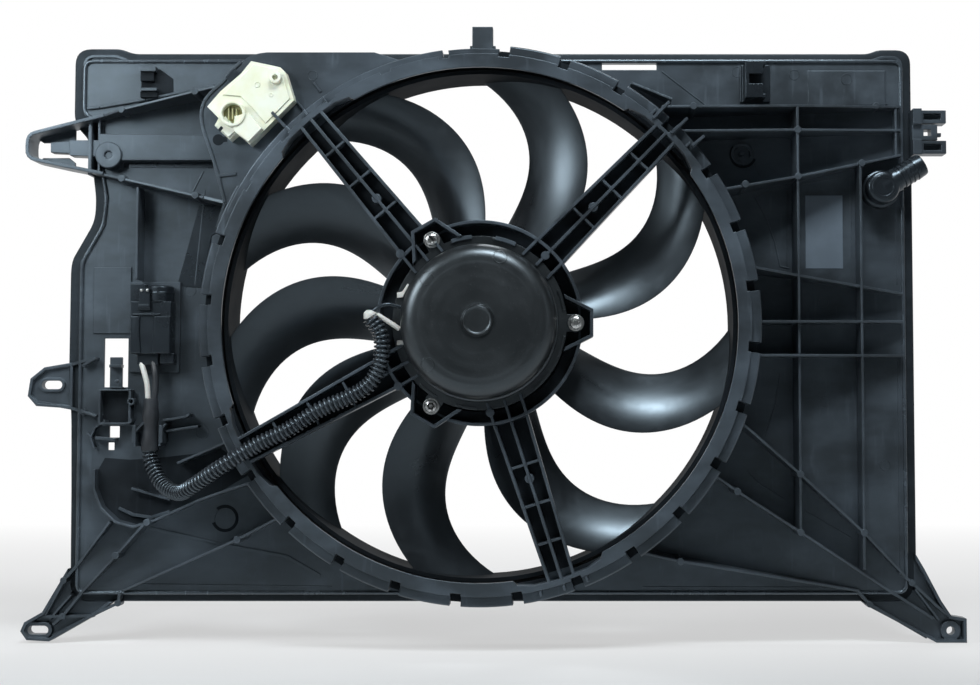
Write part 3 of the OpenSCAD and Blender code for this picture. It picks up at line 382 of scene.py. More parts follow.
class Mould:
    """Collects closed shells in drawing millimetres and hands over one finished piece."""

    def __init__(self, name):
        self.name = name
        self.bm = bmesh.new()

    def skin(self, rings, caps=True):
        """Skins a list of equal rings of points, and caps both ends where asked."""
        made = [[self.bm.verts.new(p) for p in ring] for ring in rings]
        count = len(made[0])
        for a, b in zip(made, made[1:]):
            for k in range(count):
                n = (k + 1) % count
                self.bm.faces.new((a[k], a[n], b[n], b[k]))
        if caps:
            self.bm.faces.new(list(reversed(made[0])))
            self.bm.faces.new(made[-1])
        return made

    def prism(self, outline, back, front, draft=0.0):
        """An upright wall round an outline, drawn in at the front by a draft."""
        middle = Vector((sum(p[0] for p in outline), sum(p[1] for p in outline))) / len(outline)
        top = []
        for p in outline:
            off = Vector((p[0], p[1])) - middle
            size = max(off.length, 1e-6)
            top.append(middle + off * (1 - draft / size))
        self.skin([[(p[0], p[1], back) for p in outline], [(p.x, p.y, front) for p in top]])
        return self

    def box(self, x, z, h, draft=0.0):
        """A block between two corners, given as pairs along each axis."""
        outline = [(x[0], z[0]), (x[1], z[0]), (x[1], z[1]), (x[0], z[1])]
        return self.prism(outline, h[0], h[1], draft)

    def bars(self, line, width, back, front):
        """Straight walls of even width from point to point along a line."""
        for a, b in zip(line, line[1:]):
            a, b = Vector(a), Vector(b)
            side = (b - a).orthogonal().normalized() * width / 2
            self.prism([a + side, a - side, b - side, b + side], back, front)
        return self

    def rib(self, points, width):
        """An upright wall along points of (across, up, back, top)."""
        rings = []
        for i, (x, z, back, top) in enumerate(points):
            a, b = Vector(points[max(i - 1, 0)][:2]), Vector(points[min(i + 1, len(points) - 1)][:2])
            run = (b - a).normalized()
            left = Vector((x, z)) + Vector((-run.y, run.x)) * width / 2
            right = Vector((x, z)) * 2 - left
            rings.append([(*left, back), (*left, top), (*right, top), (*right, back)])
        self.skin(rings)
        return self

    def turned(self, profile, centre=(0, 0), steps=64, start=0.0, sweep=360.0):
        """Turns a closed profile of (radius, depth) about an axis along the depth."""
        whole = sweep >= 360
        count = steps if whole else steps + 1
        rings = []
        for i in range(count):
            a = math.radians(start + sweep * i / steps)
            rings.append([(centre[0] + r * math.cos(a), centre[1] + r * math.sin(a), h) for r, h in profile])
        made = self.skin(rings, caps=not whole)
        if whole:
            size = len(profile)
            for k in range(size):
                n = (k + 1) % size
                self.bm.faces.new((made[-1][k], made[-1][n], made[0][n], made[0][k]))
        return self

    def hoop(self, inner, outer, back, front, centre=(0, 0), steps=64, start=0.0, sweep=360.0):
        """A flat ring with square edges, or a piece of one."""
        profile = [(inner, back), (outer, back), (outer, front), (inner, front)]
        return self.turned(profile, centre, steps, start, sweep)

    def closed(self, rings):
        """Skins rings that run round to the first one."""
        self.skin(rings + [rings[0]], caps=False)
        bmesh.ops.remove_doubles(self.bm, verts=self.bm.verts[:], dist=0.001)
        return self

    def lathe(self, profile, centre=(0, 0), steps=64):
        """Turns an open profile that begins and ends on the axis."""
        x, z = centre
        first = self.bm.verts.new((x, z, profile[0][1]))
        last = self.bm.verts.new((x, z, profile[-1][1]))
        rings = []
        for r, h in profile[1:-1]:
            rings.append([self.bm.verts.new((x + px, z + pz, h)) for px, pz in circle(r, steps)])
        for i in range(steps):
            n = (i + 1) % steps
            self.bm.faces.new((first, rings[0][n], rings[0][i]))
            self.bm.faces.new((last, rings[-1][i], rings[-1][n]))
            for a, b in zip(rings, rings[1:]):
                self.bm.faces.new((a[i], a[n], b[n], b[i]))
        return self

    def tube(self, path, radii, sides=16):
        """A round tube along points, with one radius or one for each point."""
        if not isinstance(radii, (list, tuple)):
            radii = [radii] * len(path)
        rings, side = [], None
        for i, point in enumerate(path):
            run = (path[min(i + 1, len(path) - 1)] - path[max(i - 1, 0)]).normalized()
            guide = side if side else (Vector((0, 0, 1)) if abs(run.z) < 0.9 else Vector((1, 0, 0)))
            side = (guide - run * guide.dot(run)).normalized()
            up = run.cross(side)
            rings.append([point + px * side + pz * up for px, pz in circle(radii[i], sides)])
        self.skin(rings)
        return self

    def done(self, finish, body="shroud", round_by=0.0, segments=2, angle=35, sharp=40):
        """Stands the drawing up, rounds its edges, shades it and makes it ride on its body."""
        bmesh.ops.recalc_face_normals(self.bm, faces=self.bm.faces[:])
        if round_by:
            round_edges(self.bm, round_by, segments, angle)
        upright = Matrix.Rotation(math.pi / 2, 4, "X") @ Matrix.Scale(MM, 4)
        stand = Matrix.Translation(place(0, 0, 0)) @ upright
        bmesh.ops.transform(self.bm, matrix=stand, verts=self.bm.verts[:])
        return finish_piece(self.name, self.bm, finish, body, sharp)


def round_edges(bm, width, segments=2, angle=35, profile=0.5, clamp=True):
    """Rounds every edge sharper than an angle."""
    edges = [e for e in bm.edges if len(e.link_faces) == 2 and e.calc_face_angle(0) > math.radians(angle)]
    bmesh.ops.bevel(bm, geom=edges, offset=width, offset_type="OFFSET", segments=segments,
                    profile=profile, affect="EDGES", clamp_overlap=clamp)


def finish_piece(name, bm, finish, body="shroud", sharp=40):
    """Turns a bmesh into a shaded object with its finish, slot and body."""
    mesh = bpy.data.meshes.new(name)
    bm.to_mesh(mesh)
    bm.free()
    mesh.shade_smooth()
    mesh.set_sharp_from_angle(angle=math.radians(sharp))
    piece = bpy.data.objects.new(name, mesh)
    bpy.context.scene.collection.objects.link(piece)
    mesh.materials.append(FINISHES[finish])
    weigh = piece.modifiers.new("even shading", "WEIGHTED_NORMAL")
    weigh.keep_sharp = True
    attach(piece, body)
    return piece


FINISHES = {}

# Which finish each CAD node takes
NODE_FINISH = {
    # The barrel takes a darker copy of the shroud plastic: painted shade inside the ring
    "dull_painted_shade_plastic": ["fan_barrel"],
    "ring_plastic": ["ring_face", "module_platform", "motor_carrier", "spoke_upper_right",
                     "spoke_upper_left", "spoke_lower_left", "spoke_bottom"],
    "fan_plastic": ["fan_hub", "fan_blades"],
    "band_plastic": ["fan_band"],
    "harness_black": ["conduit", "connector_socket", "connector_plug", "wire_clip", "hose_elbow",
                      "module_clip", "connector_latch"],
    "sleeve_rubber": ["heat_shrink"],
    "ivory_plastic": ["control_module"],
    "wire_white": ["plug_wires", "motor_leads", "conduit_sleeve", "lead_terminals"],
    "motor_black": ["motor_can", "motor_flange"],
    "bright_steel": ["motor_screws", "motor_end_plate", "brush_springs", "front_bearing", "rear_bearing",
                     "motor_shaft", "hub_nut"],
    "brass": ["module_terminals"],
    "copper": ["armature_windings", "commutator"],
    "laminated_steel": ["armature_core"],
    "ferrite": ["magnets"],
    "carbon": ["brushes"],
    "card_board": ["brush_card"],
}


def finish_of(node):
    """The finish that a CAD node takes: shroud plastic where none is listed."""
    return next((finish for finish, nodes in NODE_FINISH.items() if node in nodes), "shroud_plastic")


def tone(name, description, default):
    """A colour setting."""
    return FloatVectorProperty(name=name, description=description, subtype="COLOR", size=3, min=0, max=1,
                               default=default)


class FanColours(bpy.types.PropertyGroup):
    """Colours that a user would change."""

    shroud: tone("Shroud", "Black of the shroud plastic", (0.0262, 0.031, 0.036))
    shroud_sheen: tone("Shroud sheen", "Lighter flow marks in the plastic", (0.082, 0.102, 0.124))
    fan: tone("Fan", "Black of the fan plastic", (0.0076, 0.0083, 0.0094))
    motor: tone("Motor", "Paint of the motor can", (0.0076, 0.0083, 0.0087))
    ivory: tone("Control module", "Ivory of the control module", (0.74, 0.76, 0.66))
    ivory_deep: tone("Module hollows", "Yellower tone of the module", (0.62, 0.62, 0.36))
    floor: tone("Floor", "Pale floor of the studio", (0.62, 0.62, 0.62))


class FanSizes(bpy.types.PropertyGroup):
    """Sizes of the finer forms, in metres."""

    edge: FloatProperty(name="Moulded edge", description="Rounding of the moulded edges", unit="LENGTH",
                        default=0.00045, min=0, max=0.001)
    ring_pitch: FloatProperty(name="Conduit pitch", description="Distance between conduit rings",
                              unit="LENGTH", default=0.0035, min=0.002, max=0.006)
    conduit: FloatProperty(name="Conduit", description="Outer diameter of the conduit", unit="LENGTH",
                           default=0.0125, min=0.008, max=0.016)
    blades: IntProperty(name="Blades", description="Number of fan blades", default=9, min=3, max=13)
    dome_rings: IntProperty(name="Dome rings", description="Faint rings pressed into the dome", default=3,
                            min=0, max=5)


class FAN_OT_finishes(bpy.types.Operator):
    """Makes every finish and gives each CAD node its own"""

    bl_idname = "fan_module.finishes"
    bl_label = "Finishes"

    def execute(self, context):
        tones = context.scene.fan_colours
        self.plastics(tuple(tones.shroud), tuple(tones.shroud_sheen))
        FINISHES.update({
            "fan_plastic": gloss_plastic("fan plastic", tuple(tones.fan), 0.30),
            "socket_plastic": pale_plastic("socket plastic", (0.42, 0.42, 0.20), (0.20, 0.20, 0.12), 0.45),
            "sleeve_rubber": soft_rubber("sleeve rubber", (0.018, 0.021, 0.025), 0.40, 0.25),
            "ivory_plastic": pale_plastic("ivory plastic", tuple(tones.ivory), tuple(tones.ivory_deep), 0.42),
            "wire_white": pale_plastic("wire white", (0.62, 0.62, 0.59), (0.46, 0.46, 0.42), 0.38),
            "motor_black": painted_steel("motor paint", tuple(tones.motor), 0.34),
            "bright_steel": bare_metal("bright steel", (0.62, 0.63, 0.62), 0.30),
            "brass": bare_metal("brass", (0.72, 0.56, 0.26), 0.28),
            "copper": layered("copper", (0.72, 0.36, 0.20), (0.30, 0.13, 0.07), 0.0011, 1.0),
            "laminated_steel": layered("laminated steel", (0.42, 0.43, 0.44), (0.16, 0.16, 0.17),
                                       0.0010, 1.0),
            "ferrite": soft_rubber("ferrite", (0.055, 0.056, 0.058), 0.62, 0.15),
            "carbon": soft_rubber("carbon", (0.030, 0.030, 0.031), 0.45, 0.10),
            "card_board": soft_rubber("card board", (0.26, 0.17, 0.08), 0.55, 0.12),
        })
        for name, node in NODES.items():
            finish = finish_of(name)
            node.data.materials.clear()
            node.data.materials.append(FINISHES[finish])
            node.data.shade_smooth()
            node.data.set_sharp_from_angle(angle=math.radians(28))
        return {"FINISHED"}

    def plastics(self, black, sheen):
        """The moulded blacks, as shares of the shroud's own two tones or in tones of their own."""
        for name, colour, light, rough, more in (
                ("shroud_plastic", black, sheen, 0.40, {}),
                ("ring_plastic", toned(black, 0.95), toned(sheen, 1.05), 0.34, {}),
                # Darker copy of the shroud plastic, as painted shade on the barrel, the floors, gaps and
                # wells, the bracket and the tab slot
                ("dull_painted_shade_plastic", toned(black, 0.5), toned(sheen, 0.35), 0.75, {"shine": 0.08}),
                ("band_plastic", toned(black, 0.3), toned(sheen, 0.2), 0.70, {"shine": 0.06}),
                # Darker copy of the shroud plastic, as painted shade on the low flange
                ("flange_painted_shade_plastic", toned(black, 0.4), toned(sheen, 0.4), 0.60, {"shine": 0.28}),
                ("harness_black", (0.0097, 0.0118, 0.0145), (0.018, 0.023, 0.028), 0.28,
                 {"grain": 0.03, "wax": 0.06}),
                # Glossier bead plastic, a little lighter than the shroud as painted highlight
                ("bead_painted_highlight_plastic", toned(black, 1.2), sheen, 0.25, {"grain": 0.03, "wax": 0.03, "shine": 1.0}),
                ("pad_plastic", toned(sheen, 1.5), toned(sheen, 1.6), 0.42, {"grain": 0.03, "wax": 0.03}),
                ("conduit_plastic", (0.0195, 0.022, 0.026), (0.036, 0.042, 0.047), 0.27,
                 {"grain": 0.03, "wax": 0.05, "shine": 1.0})):
            FINISHES[name] = moulded_plastic(name.replace("_", " "), colour, light, rough, **more)


# CAD nodes that are shown with rounded edges
ROUNDED = [
    "panel_left", "panel_right", "ring_face", "spoke_upper_right", "spoke_upper_left",
    "spoke_lower_left", "spoke_bottom", "motor_carrier", "ear_side_left", "foot_lower_left",
    "foot_lower_right", "fork_upper_right", "top_tab", "ribs_left", "cable_trough", "ribs_right",
    "ribs_upright", "cable_cradle", "connector_rail", "rim_top", "rim_bottom", "rim_left",
    "rim_right", "wire_clip",
]


class FAN_OT_mouldings(bpy.types.Operator):
    """Rounds the edges of the moulded parts, as the real moulding has them"""

    bl_idname = "fan_module.mouldings"
    bl_label = "Rounded mouldings"

    def execute(self, context):
        edge = context.scene.fan_sizes.edge
        for name in ROUNDED:
            piece = finish_piece(name + "_moulded", self.cleaned(NODES[name], edge), finish_of(name))
            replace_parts(piece, name)
        return {"FINISHED"}

    def cleaned(self, node, width):
        """A copy of a CAD mesh with its flat faces joined and its sharp edges rounded."""
        bm = bmesh.new()
        bm.from_mesh(node.data)
        bmesh.ops.remove_doubles(bm, verts=bm.verts[:], dist=4e-6)
        bmesh.ops.dissolve_limit(bm, angle_limit=math.radians(0.7), verts=bm.verts[:], edges=bm.edges[:])
        round_edges(bm, width, angle=32, profile=0.6, clamp=False)
        return bm


class FAN_OT_blades(bpy.types.Operator):
    """Nine swept blades with smooth skins, on the spacing of the source"""

    bl_idname = "fan_module.blades"
    bl_label = "Fan blades"

    hub_r, band_r, mid_h = 78.0, 195.5, 34.0
    first, uneven, phase = 13.2, 9, 25
    root_chord, tip_chord, sweep = 31.0, 18.3, 31.4
    root_deep, tip_deep, thickness, camber = 34, 25, 1.5, 5

    def execute(self, context):
        mould = Mould("fan_blades_swept")
        count = context.scene.fan_sizes.blades
        for i in range(count):
            even = 360 * i / count
            self.blade(mould, self.first + even + self.uneven * math.sin(math.radians(even + self.phase)))
        piece = mould.done("fan_plastic", "fan", round_by=0.28, angle=50, sharp=60)
        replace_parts(piece, "fan_blades")
        return {"FINISHED"}

    def point(self, s, t, side, turn):
        """A point on one skin: s from hub to band, t from the front edge to the rear one."""
        chord = self.tip_chord + (self.root_chord - self.tip_chord) * (1 - s) ** 2.2
        deep = self.root_deep - (self.root_deep - self.tip_deep) * s
        thick = self.thickness * (0.3 + 0.7 * math.sin(math.pi * t ** 0.8)) * (1 - 0.25 * s)
        r = self.hub_r - 0.5 + s * (self.band_r + 1 - self.hub_r)
        a = math.radians(turn + self.sweep * (s - 0.21) ** 2 + (t - 0.5) * chord)
        h = self.mid_h + deep * (0.5 - t) + self.camber * math.sin(math.pi * t) * (1 - 0.4 * s) - 2
        return r * math.cos(a), r * math.sin(a), h + side * thick

    def blade(self, mould, turn, stations=26, across=18):
        """One blade, skinned from hub to band."""
        rings = []
        for i in range(stations + 1):
            s = i / stations
            ring = [self.point(s, j / across, 1, turn) for j in range(across + 1)]
            ring += [self.point(s, j / across, -1, turn) for j in range(across, -1, -1)]
            rings.append(ring)
        mould.skin(rings)


class FAN_OT_motor(bpy.types.Operator):
    """Motor can with its pressed rings, flange details and six-lobe screws"""

    bl_idname = "fan_module.motor"
    bl_label = "Motor"

    can_r, shoulder, dome_rise, screw_r = 58.5, 13.0, 3, 73.2
    first_ring, ring_step = 42, 9
    press_marks = ((16.6, 47.4), (-37.6, 31.0), (-37.0, -33.0))

    def execute(self, context):
        self.can(context.scene.fan_sizes.dome_rings)
        self.marks()
        self.screws()
        self.rib_ends()
        return {"FINISHED"}

    def can(self, rings):
        """Drawn can: side wall, round shoulder, dome with pressed rings and the bearing cap."""
        r, front, turn = self.can_r, DOME, self.shoulder
        profile = [(58, 26), (60, 26.4), (60, 72.4), (59.6, 73), (r, 73.3)]
        for i in range(13):
            a = math.pi / 2 * i / 12
            profile.append((r - turn + turn * math.cos(a),
                            front - self.dome_rise - turn + turn * math.sin(a)))
        for i in range(rings):
            at, level = self.first_ring - self.ring_step * i, front - 2.7 + 0.42 * i
            profile += [(at + 1.8, level), (at, level + 0.32), (at - 3.5, level + 0.38)]
        profile += [(16.5, front - 1.45), (13.6, front - 1.4), (12.9, front - 1.9), (12.0, front - 1.9),
                    (11.5, front - 0.6), (11.0, front + 0.5), (10.3, front + 1.0), (9.4, front + 0.75),
                    (8.6, front + 0.1), (4.0, front + 0.25)]
        inner = [(11, front - 2.2), (46, front - 5), (55, front - 12), (58, front - 20)]
        mould = Mould("motor_can_drawn")
        mould.lathe([(0, front + 0.3)] + profile[::-1] + inner[::-1] + [(0, front - 2.1)], steps=144)
        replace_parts(mould.done("motor_black", sharp=50), "motor_can")

    def marks(self):
        """Round press marks on the shoulder of the can."""
        mould = Mould("motor_press_marks")
        for x, z in self.press_marks:
            rings = []
            for size, lift in ((4.2, -0.5), (4.4, 0.16), (4.9, 0.26), (5.4, 0.16), (5.6, -0.5)):
                ring = [(x + px, z + pz) for px, pz in circle(size, 40)]
                rings.append([(px, pz, self.shoulder_at(math.hypot(px, pz)) + lift) for px, pz in ring])
            mould.skin(rings)
        mould.done("motor_black", sharp=50)

    def shoulder_at(self, radius):
        """Depth of the can's round shoulder at a radius."""
        out = max(min(radius - (self.can_r - self.shoulder), self.shoulder - 0.5), 0)
        return DOME - self.dome_rise - self.shoulder + math.sqrt(self.shoulder ** 2 - out * out)

    def screws(self):
        """Three flange screws: washer, round head and a six-lobe socket."""
        mould = Mould("motor_screws_turned")
        for i in range(3):
            x, z = polar(self.screw_r, 120 * i)
            washer = ((2, -13), (6.1, 0.02), (6.3, 0.25), (6.2, 1.0), (5.9, 1.25), (2, 1.3))
            mould.turned([(q, LUGS + up) for q, up in washer], (x, z), 48)
            rings = []
            for q, up, wave, turn in ((4.9, 1.2, 0, 0), (5.0, 1.9, 0, 0), (4.75, 2.9, 0, 0), (4.0, 3.6, 0, 0),
                                      (2.55, 3.8, 0.13, i), (2.35, 3.4, 0.13, i), (2.2, 1.9, 0.13, i)):
                rings.append([(x + px, z + pz, LUGS + up) for px, pz in circle(q, 48, wave, turn)])
            mould.skin(rings)
        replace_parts(mould.done("bright_steel", sharp=38), "motor_screws")

    def rib_ends(self):
        """Ends of the spoke ribs over the motor flange, and their round bosses."""
        near_r, far, apart, root = 61.2, 77, 13, LUGS + 0.3
        mould = Mould("carrier_rib_ends")
        for angle, row, along in zip(SPOKES, (0, 1, 1, -1), (71.5, 79, 77, 67.5)):
            out, side = out_and_across(angle)
            for k in (-1, 0, 1):
                near, row_at = math.sqrt(near_r ** 2 - (apart * k) ** 2), side * apart * k
                mould.bars([out * near + row_at, out * far + row_at], 2.2, root, LUGS + 1.9)
            mould.hoop(0.01, 3.3, root, LUGS + 2.2, out * along + side * apart * row, 28)
        mould.done("ring_plastic", round_by=0.35)


class FAN_OT_conduit(bpy.types.Operator):
    """Corrugated conduit along its route from the connector to the motor"""

    bl_idname = "fan_module.conduit"
    bl_label = "Corrugated conduit"

    # The source's route: round the corner from the shrink sleeve, and along the spoke to the motor
    lie = 77.55
    route = ((-262, -94, 27), (-260, -108, 29), (-249, -124, 37), (-233, -130, 51), (-218, -124, 66),
             (-194, -109, lie + 0.6), (-168, -93, lie), (-144, -81, lie), (-120, -66, lie),
             (-97, -56, lie), (-82, -46, lie + 1.5), (-74, -30, lie + 2.5), (-74, -10, lie + 2.5),
             (-82, 3, lie + 2.5))

    def execute(self, context):
        sizes = context.scene.fan_sizes
        radius, pitch = sizes.conduit / MM / 2, sizes.ring_pitch / MM
        fine = smooth_points([Vector(p) for p in self.route], 96)
        run, far = [0.0], 0.0
        for a, b in zip(fine, fine[1:]):
            far += (b - a).length
            run.append(far)
        path, radii, at = [], [], 0
        # One corrugation: shares of the pitch, and how far each lies below the crest
        wave = (0.0, 0.08, 0.22, 0.38, 0.52, 0.60, 0.90)
        depth = (0.70, 0.20, 0.0, 0.0, 0.30, 1.9, 1.9)
        turns = int(far / pitch)
        for i in range(turns):
            for part, low in zip(wave, depth):
                s = (i + part) * far / turns
                while at < len(run) - 2 and run[at + 1] < s:
                    at += 1
                t = (s - run[at]) / max(run[at + 1] - run[at], 1e-9)
                path.append(fine[at].lerp(fine[at + 1], t))
                radii.append(radius - low)
        path.append(fine[-1])
        radii.append(radius)
        piece = Mould("conduit_corrugated").tube(path, radii, 24).done("conduit_plastic", sharp=75)
        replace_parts(piece, "conduit")
        with_pieces = [self.leads(), self.sleeve(), self.wires(), self.shrink()]
        line = [place(*p) for p in fine[::4]]
        return {"FINISHED"}

    def leads(self):
        """A pale and a dark lead from the conduit's end to the side of the motor."""
        piece = self.wire("motor_lead_pale", "wire_white", 1.9, 10, [
            (-81.5, 6, 79.5), (-77, 5.6, 80.2), (-69, 0.7, 79.8), (-60.2, -5, 78)])
        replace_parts(piece, "motor_leads")
        self.wire("motor_lead_dark", "harness_black", 1.6, 10, [
            (-81.5, 6.5, 81), (-76, 10.9, 82), (-69, 13.3, 81), (-59.6, 11.4, 78)])
        return piece

    def wire(self, name, finish, radius, steps, points):
        """A round wire along a smooth curve through points."""
        path = smooth_points([Vector(p) for p in points], steps)
        return Mould(name).tube(path, radius, 14).done(finish, sharp=60)

    def sleeve(self):
        """Pale sleeve on the conduit's end."""
        path = [Vector((-82, 2.4 + 1.1 * i, 80)) for i in range(7)]
        radii = [4.9, 5.1, 5.2, 5.15, 5.0, 4.3, 2.9]
        piece = Mould("conduit_sleeve_pale").tube(path, radii, 24).done("wire_white", sharp=60)
        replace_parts(piece, "conduit_sleeve")
        return piece

    def wires(self):
        """Two wires between the connector and the shrink sleeve."""
        self.wire("plug_wire_dark", "sleeve_rubber", 2.5, 8, [
            (-260.6, -28, 26), (-258.2, -38, 28.4), (-257.6, -48, 29), (-258.8, -58, 28.4),
            (-260, -64, 27.5)])
        piece = self.wire("plug_wire_pale", "wire_white", 2.1, 8, [
            (-270.4, -28, 26), (-267.6, -35, 28), (-264.4, -46, 29), (-263.7, -57, 28.6),
            (-262.6, -64, 27.5)])
        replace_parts(piece, "plug_wires")
        return piece

    def shrink(self):
        """Shrink sleeve that swells over the splice and grips the conduit's end."""
        radii = [5.2, 5.7, 5.6, 6.1, 6.5, 6.2, 5.6, 5.4, 5.8, 6.3, 6.8, 6.9, 6.7]
        path = [Vector((-261.3 - 0.05 * i, -57 - 3.4 * i, 28 - 0.08 * i)) for i in range(len(radii))]
        piece = Mould("heat_shrink_swollen").tube(path, radii, 28).done("sleeve_rubber", sharp=70)
        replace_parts(piece, "heat_shrink")
        return piece


class FAN_OT_trim(bpy.types.Operator):
    """Bead round the panel, step lines and ejector marks of the moulding"""

    bl_idname = "fan_module.trim"
    bl_label = "Panel trim"

    outline = [(-329, 226), (-329, 165), (-314, 161), (-314, 126), (-310, 104), (-312, 84), (-329, 54),
               (-329, -218), (343, -218), (343, 225), (319, 225), (311, 222), (-285, 222), (-295, 226)]
    # Raised steps of the skin, as points across and up
    steps = [
        [(-224.2, 110.4), (-231.3, 33.9)], [(-233.8, 108.9), (-225.4, 125.7)],
        [(143.4, 206.6), (176.3, 181), (195.6, 162.3)], [(216.9, 131.5), (222.7, 121)],
        [(217.5, 104.9), (226.7, 87), (233.3, 68.5), (237.4, 48.9), (245, 47.2)],
        [(219.2, 105.8), (241.9, 112.9), (292, 121.4)], [(243.7, 110), (243.4, 48.3)],
        [(294.5, 120), (294.2, 54.8)], [(330.7, 87), (330.9, 34.7)],
        [(262.8, 209), (262.8, 180.2), (325, 180.2)],
        [(236.8, -37), (232.6, -62.2), (224.5, -86.4)],
        [(210.8, -115.4), (219.8, -124.7), (240, -136.6)], [(256, -146), (292, -167.4)],
        [(331, -26.2), (331, -190)], [(126.1, -206.4), (290, -206.8)],
        [(-275, -204), (-120, -206)], [(-306, 44.7), (-277.6, 44.7)],
    ]
    # Ejector marks as across, up, depth and radius
    marks = [(203.9, 206.2, 14.5, 4.4), (250, 204, 14.5, 4.4), (292, 200, 15.5, 4.6),
             (-204.8, -152.7, 14.5, 9), (-234.7, 29.5, 14.5, 4.6), (-224.1, -83.7, 14.5, 5.5),
             (-132, 194.7, 52, 4), (272, -60, 14.5, 4.4), (272, 20, 14.5, 4.4), (320, -110, 14.5, 4.4)]

    # Outer edge of the module platform
    platform = [(-173.2, 212.3), (-180.6, 210.5), (-188.1, 205.2), (-195.4, 197.7), (-201.3, 190.1),
                (-208.0, 184.1), (-212.4, 179.6), (-216.1, 174.3), (-218.1, 168.3), (-218.5, 162.3),
                (-217.3, 154.8), (-214.9, 146.5), (-211.9, 138.2), (-208.8, 129.2), (-205.7, 118.7),
                (-202.7, 108.3), (-199.4, 94.8)]

    def execute(self, context):
        self.bead(7.25, 1.45)
        self.platform_sheet(213.3)
        mould = Mould("panel_steps")
        for line in self.steps:
            mould.bars(line, 1.1, SKIN - 0.2, SKIN + 0.5)
        mould.done("shroud_plastic", round_by=0.3)
        mould = Mould("ejector_marks")
        for x, z, h, radius in self.marks:
            mould.turned([(radius - 0.7, h - 0.2), (radius, h - 0.2), (radius - 0.1, h + 0.22),
                          (radius - 0.5, h + 0.26)], (x, z), 40)
        mould.done("shroud_plastic", sharp=60)
        mould = Mould("platform_trim")
        low = PLATFORM - 0.4
        mould.bars(self.platform[2:], 2.6, low, 53.1)
        mould.bars([(-204.6, 115.7), (-190.5, 117.3)], 2.6, low, 53)
        mould.bars([(-131.1, 189), (-125.3, 181.6)], 1.5, low, 53)
        mould.bars([(-147.3, 177.7), (-137.3, 166.2)], 1.6, low, 54)
        mould.bars([(-161.4, 163.6), (-150.9, 152.1)], 2.4, low, 63.5)
        mould.done("ring_plastic", round_by=0.4)
        return {"FINISHED"}

    def platform_sheet(self, ring_r):
        """Module platform with its outer edge and the ring's arc."""
        arc = [tuple(polar(ring_r, a)) for a in range(155, 105, -7)]
        mould = Mould("module_platform_sheet")
        mould.prism(self.platform + arc + [(-84, 213), (-168, 213)], SKIN - 0.1, PLATFORM)
        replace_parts(mould.done("ring_plastic", round_by=0.5), "module_platform")

    def bead(self, inset, radius):
        """Half-round bead along the rounded outline of the panel."""
        top_edge, root = 222, SKIN + 0.5
        path = rounded(shifted([(x, min(z, top_edge)) for x, z in self.outline], inset), 7)
        mould = Mould("panel_bead")
        size = len(path)
        rings = []
        for i, p in enumerate(path):
            run = (path[(i + 1) % size] - path[i - 1]).normalized()
            side = Vector((-run.y, run.x))
            ring = []
            for k in range(7):
                a = math.pi * k / 6
                q = p + side * radius * math.cos(a)
                ring.append((q.x, q.y, root + 0.4 + radius * 0.85 * math.sin(a)))
            rings.append(ring + [(*ring[-1][:2], root), (*ring[0][:2], root)])
        mould.closed(rings).done("bead_painted_highlight_plastic", sharp=60)


class FAN_OT_ear(bpy.types.Operator):
    """Loop ear of the upper left, with its rounded nose, floor and snap tongue"""

    bl_idname = "fan_module.ear"
    bl_label = "Loop ear"

    # Outer line of the loop, from its upper root round the nose to the lower one
    nose = [(-303, 170.3), (-312, 168), (-337, 161.7), (-357.7, 156.3), (-361.2, 154.9), (-363.6, 152.4),
            (-364.7, 149), (-365, 144), (-364.8, 138.6), (-363.4, 135.4), (-360.6, 133), (-356.6, 131.7),
            (-336, 127.2), (-312.8, 122.6), (-303, 120.6)]

    def execute(self, context):
        mould = Mould("ear_upper_left_loop")
        wall, back, front = 2.9, 4, 26
        points = [Vector(p) for p in self.nose]
        rings = []
        for i, p in enumerate(points):
            run = (points[min(i + 1, len(points) - 1)] - points[max(i - 1, 0)]).normalized()
            inner = p + Vector((-run.y, run.x)) * wall
            rings.append([(*p, back), (*p, front), (*inner, front), (*inner, back)])
        mould.skin(rings)
        mould.prism([(-362, 153), (-331, 160.5), (-331, 149.8), (-357, 149.8)], 5, 7.5)
        mould.prism([(-362, 134.5), (-357, 137.6), (-336, 137.6), (-331, 133.5), (-331, 128.6)], 5, 7.5)
        mould.prism([(-348.0, 148.7), (-330.3, 149.5), (-330.1, 139.6), (-347.9, 140.4)], 8, 17)
        mould.prism([(-332.2, 150.0), (-307.9, 150.0), (-307.7, 136.5), (-332.0, 137.7)], 7, 19)
        mould.box((-316.5, -313.5), (121.5, 168), (4, 21))
        piece = mould.done("shroud_plastic", round_by=0.5)
        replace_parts(piece, "ear_upper_left")
        return {"FINISHED"}


class FAN_OT_edge(bpy.types.Operator):
    """Matt band on the low flange and rim round the panel, darkened as painted shade"""

    bl_idname = "fan_module.edge"
    bl_label = "Flange band"

    outline = [(-332.2, 226.6), (-332.2, 165), (-318, 150), (-316.6, 126), (-313.6, 104), (-314.6, 86),
               (-332, 55), (-333.2, 46), (-333, -40), (-330.4, -75), (-329.4, -218.4), (345.4, -218.4),
               (345.4, 225.8), (319, 225.8), (311, 222.6), (-285, 222.6), (-295, 226.6)]

    def execute(self, context):
        outer = rounded(self.outline, 13)
        inner = rounded(shifted(FAN_OT_trim.outline, 5.7), 8)
        mould = Mould("flange_painted_shade_band")
        low, level, side = 0.2, 8.75, 7.4
        rings = []
        for a in outer:
            b = min(inner, key=lambda q: (q - a).length)
            c = a + (b - a).normalized() * 1.2
            rings.append([(*a, low), (*a, side), (*c, level), (*b, level), (*b, low)])
        mould.closed(rings).done("flange_painted_shade_plastic", sharp=50)
        return {"FINISHED"}


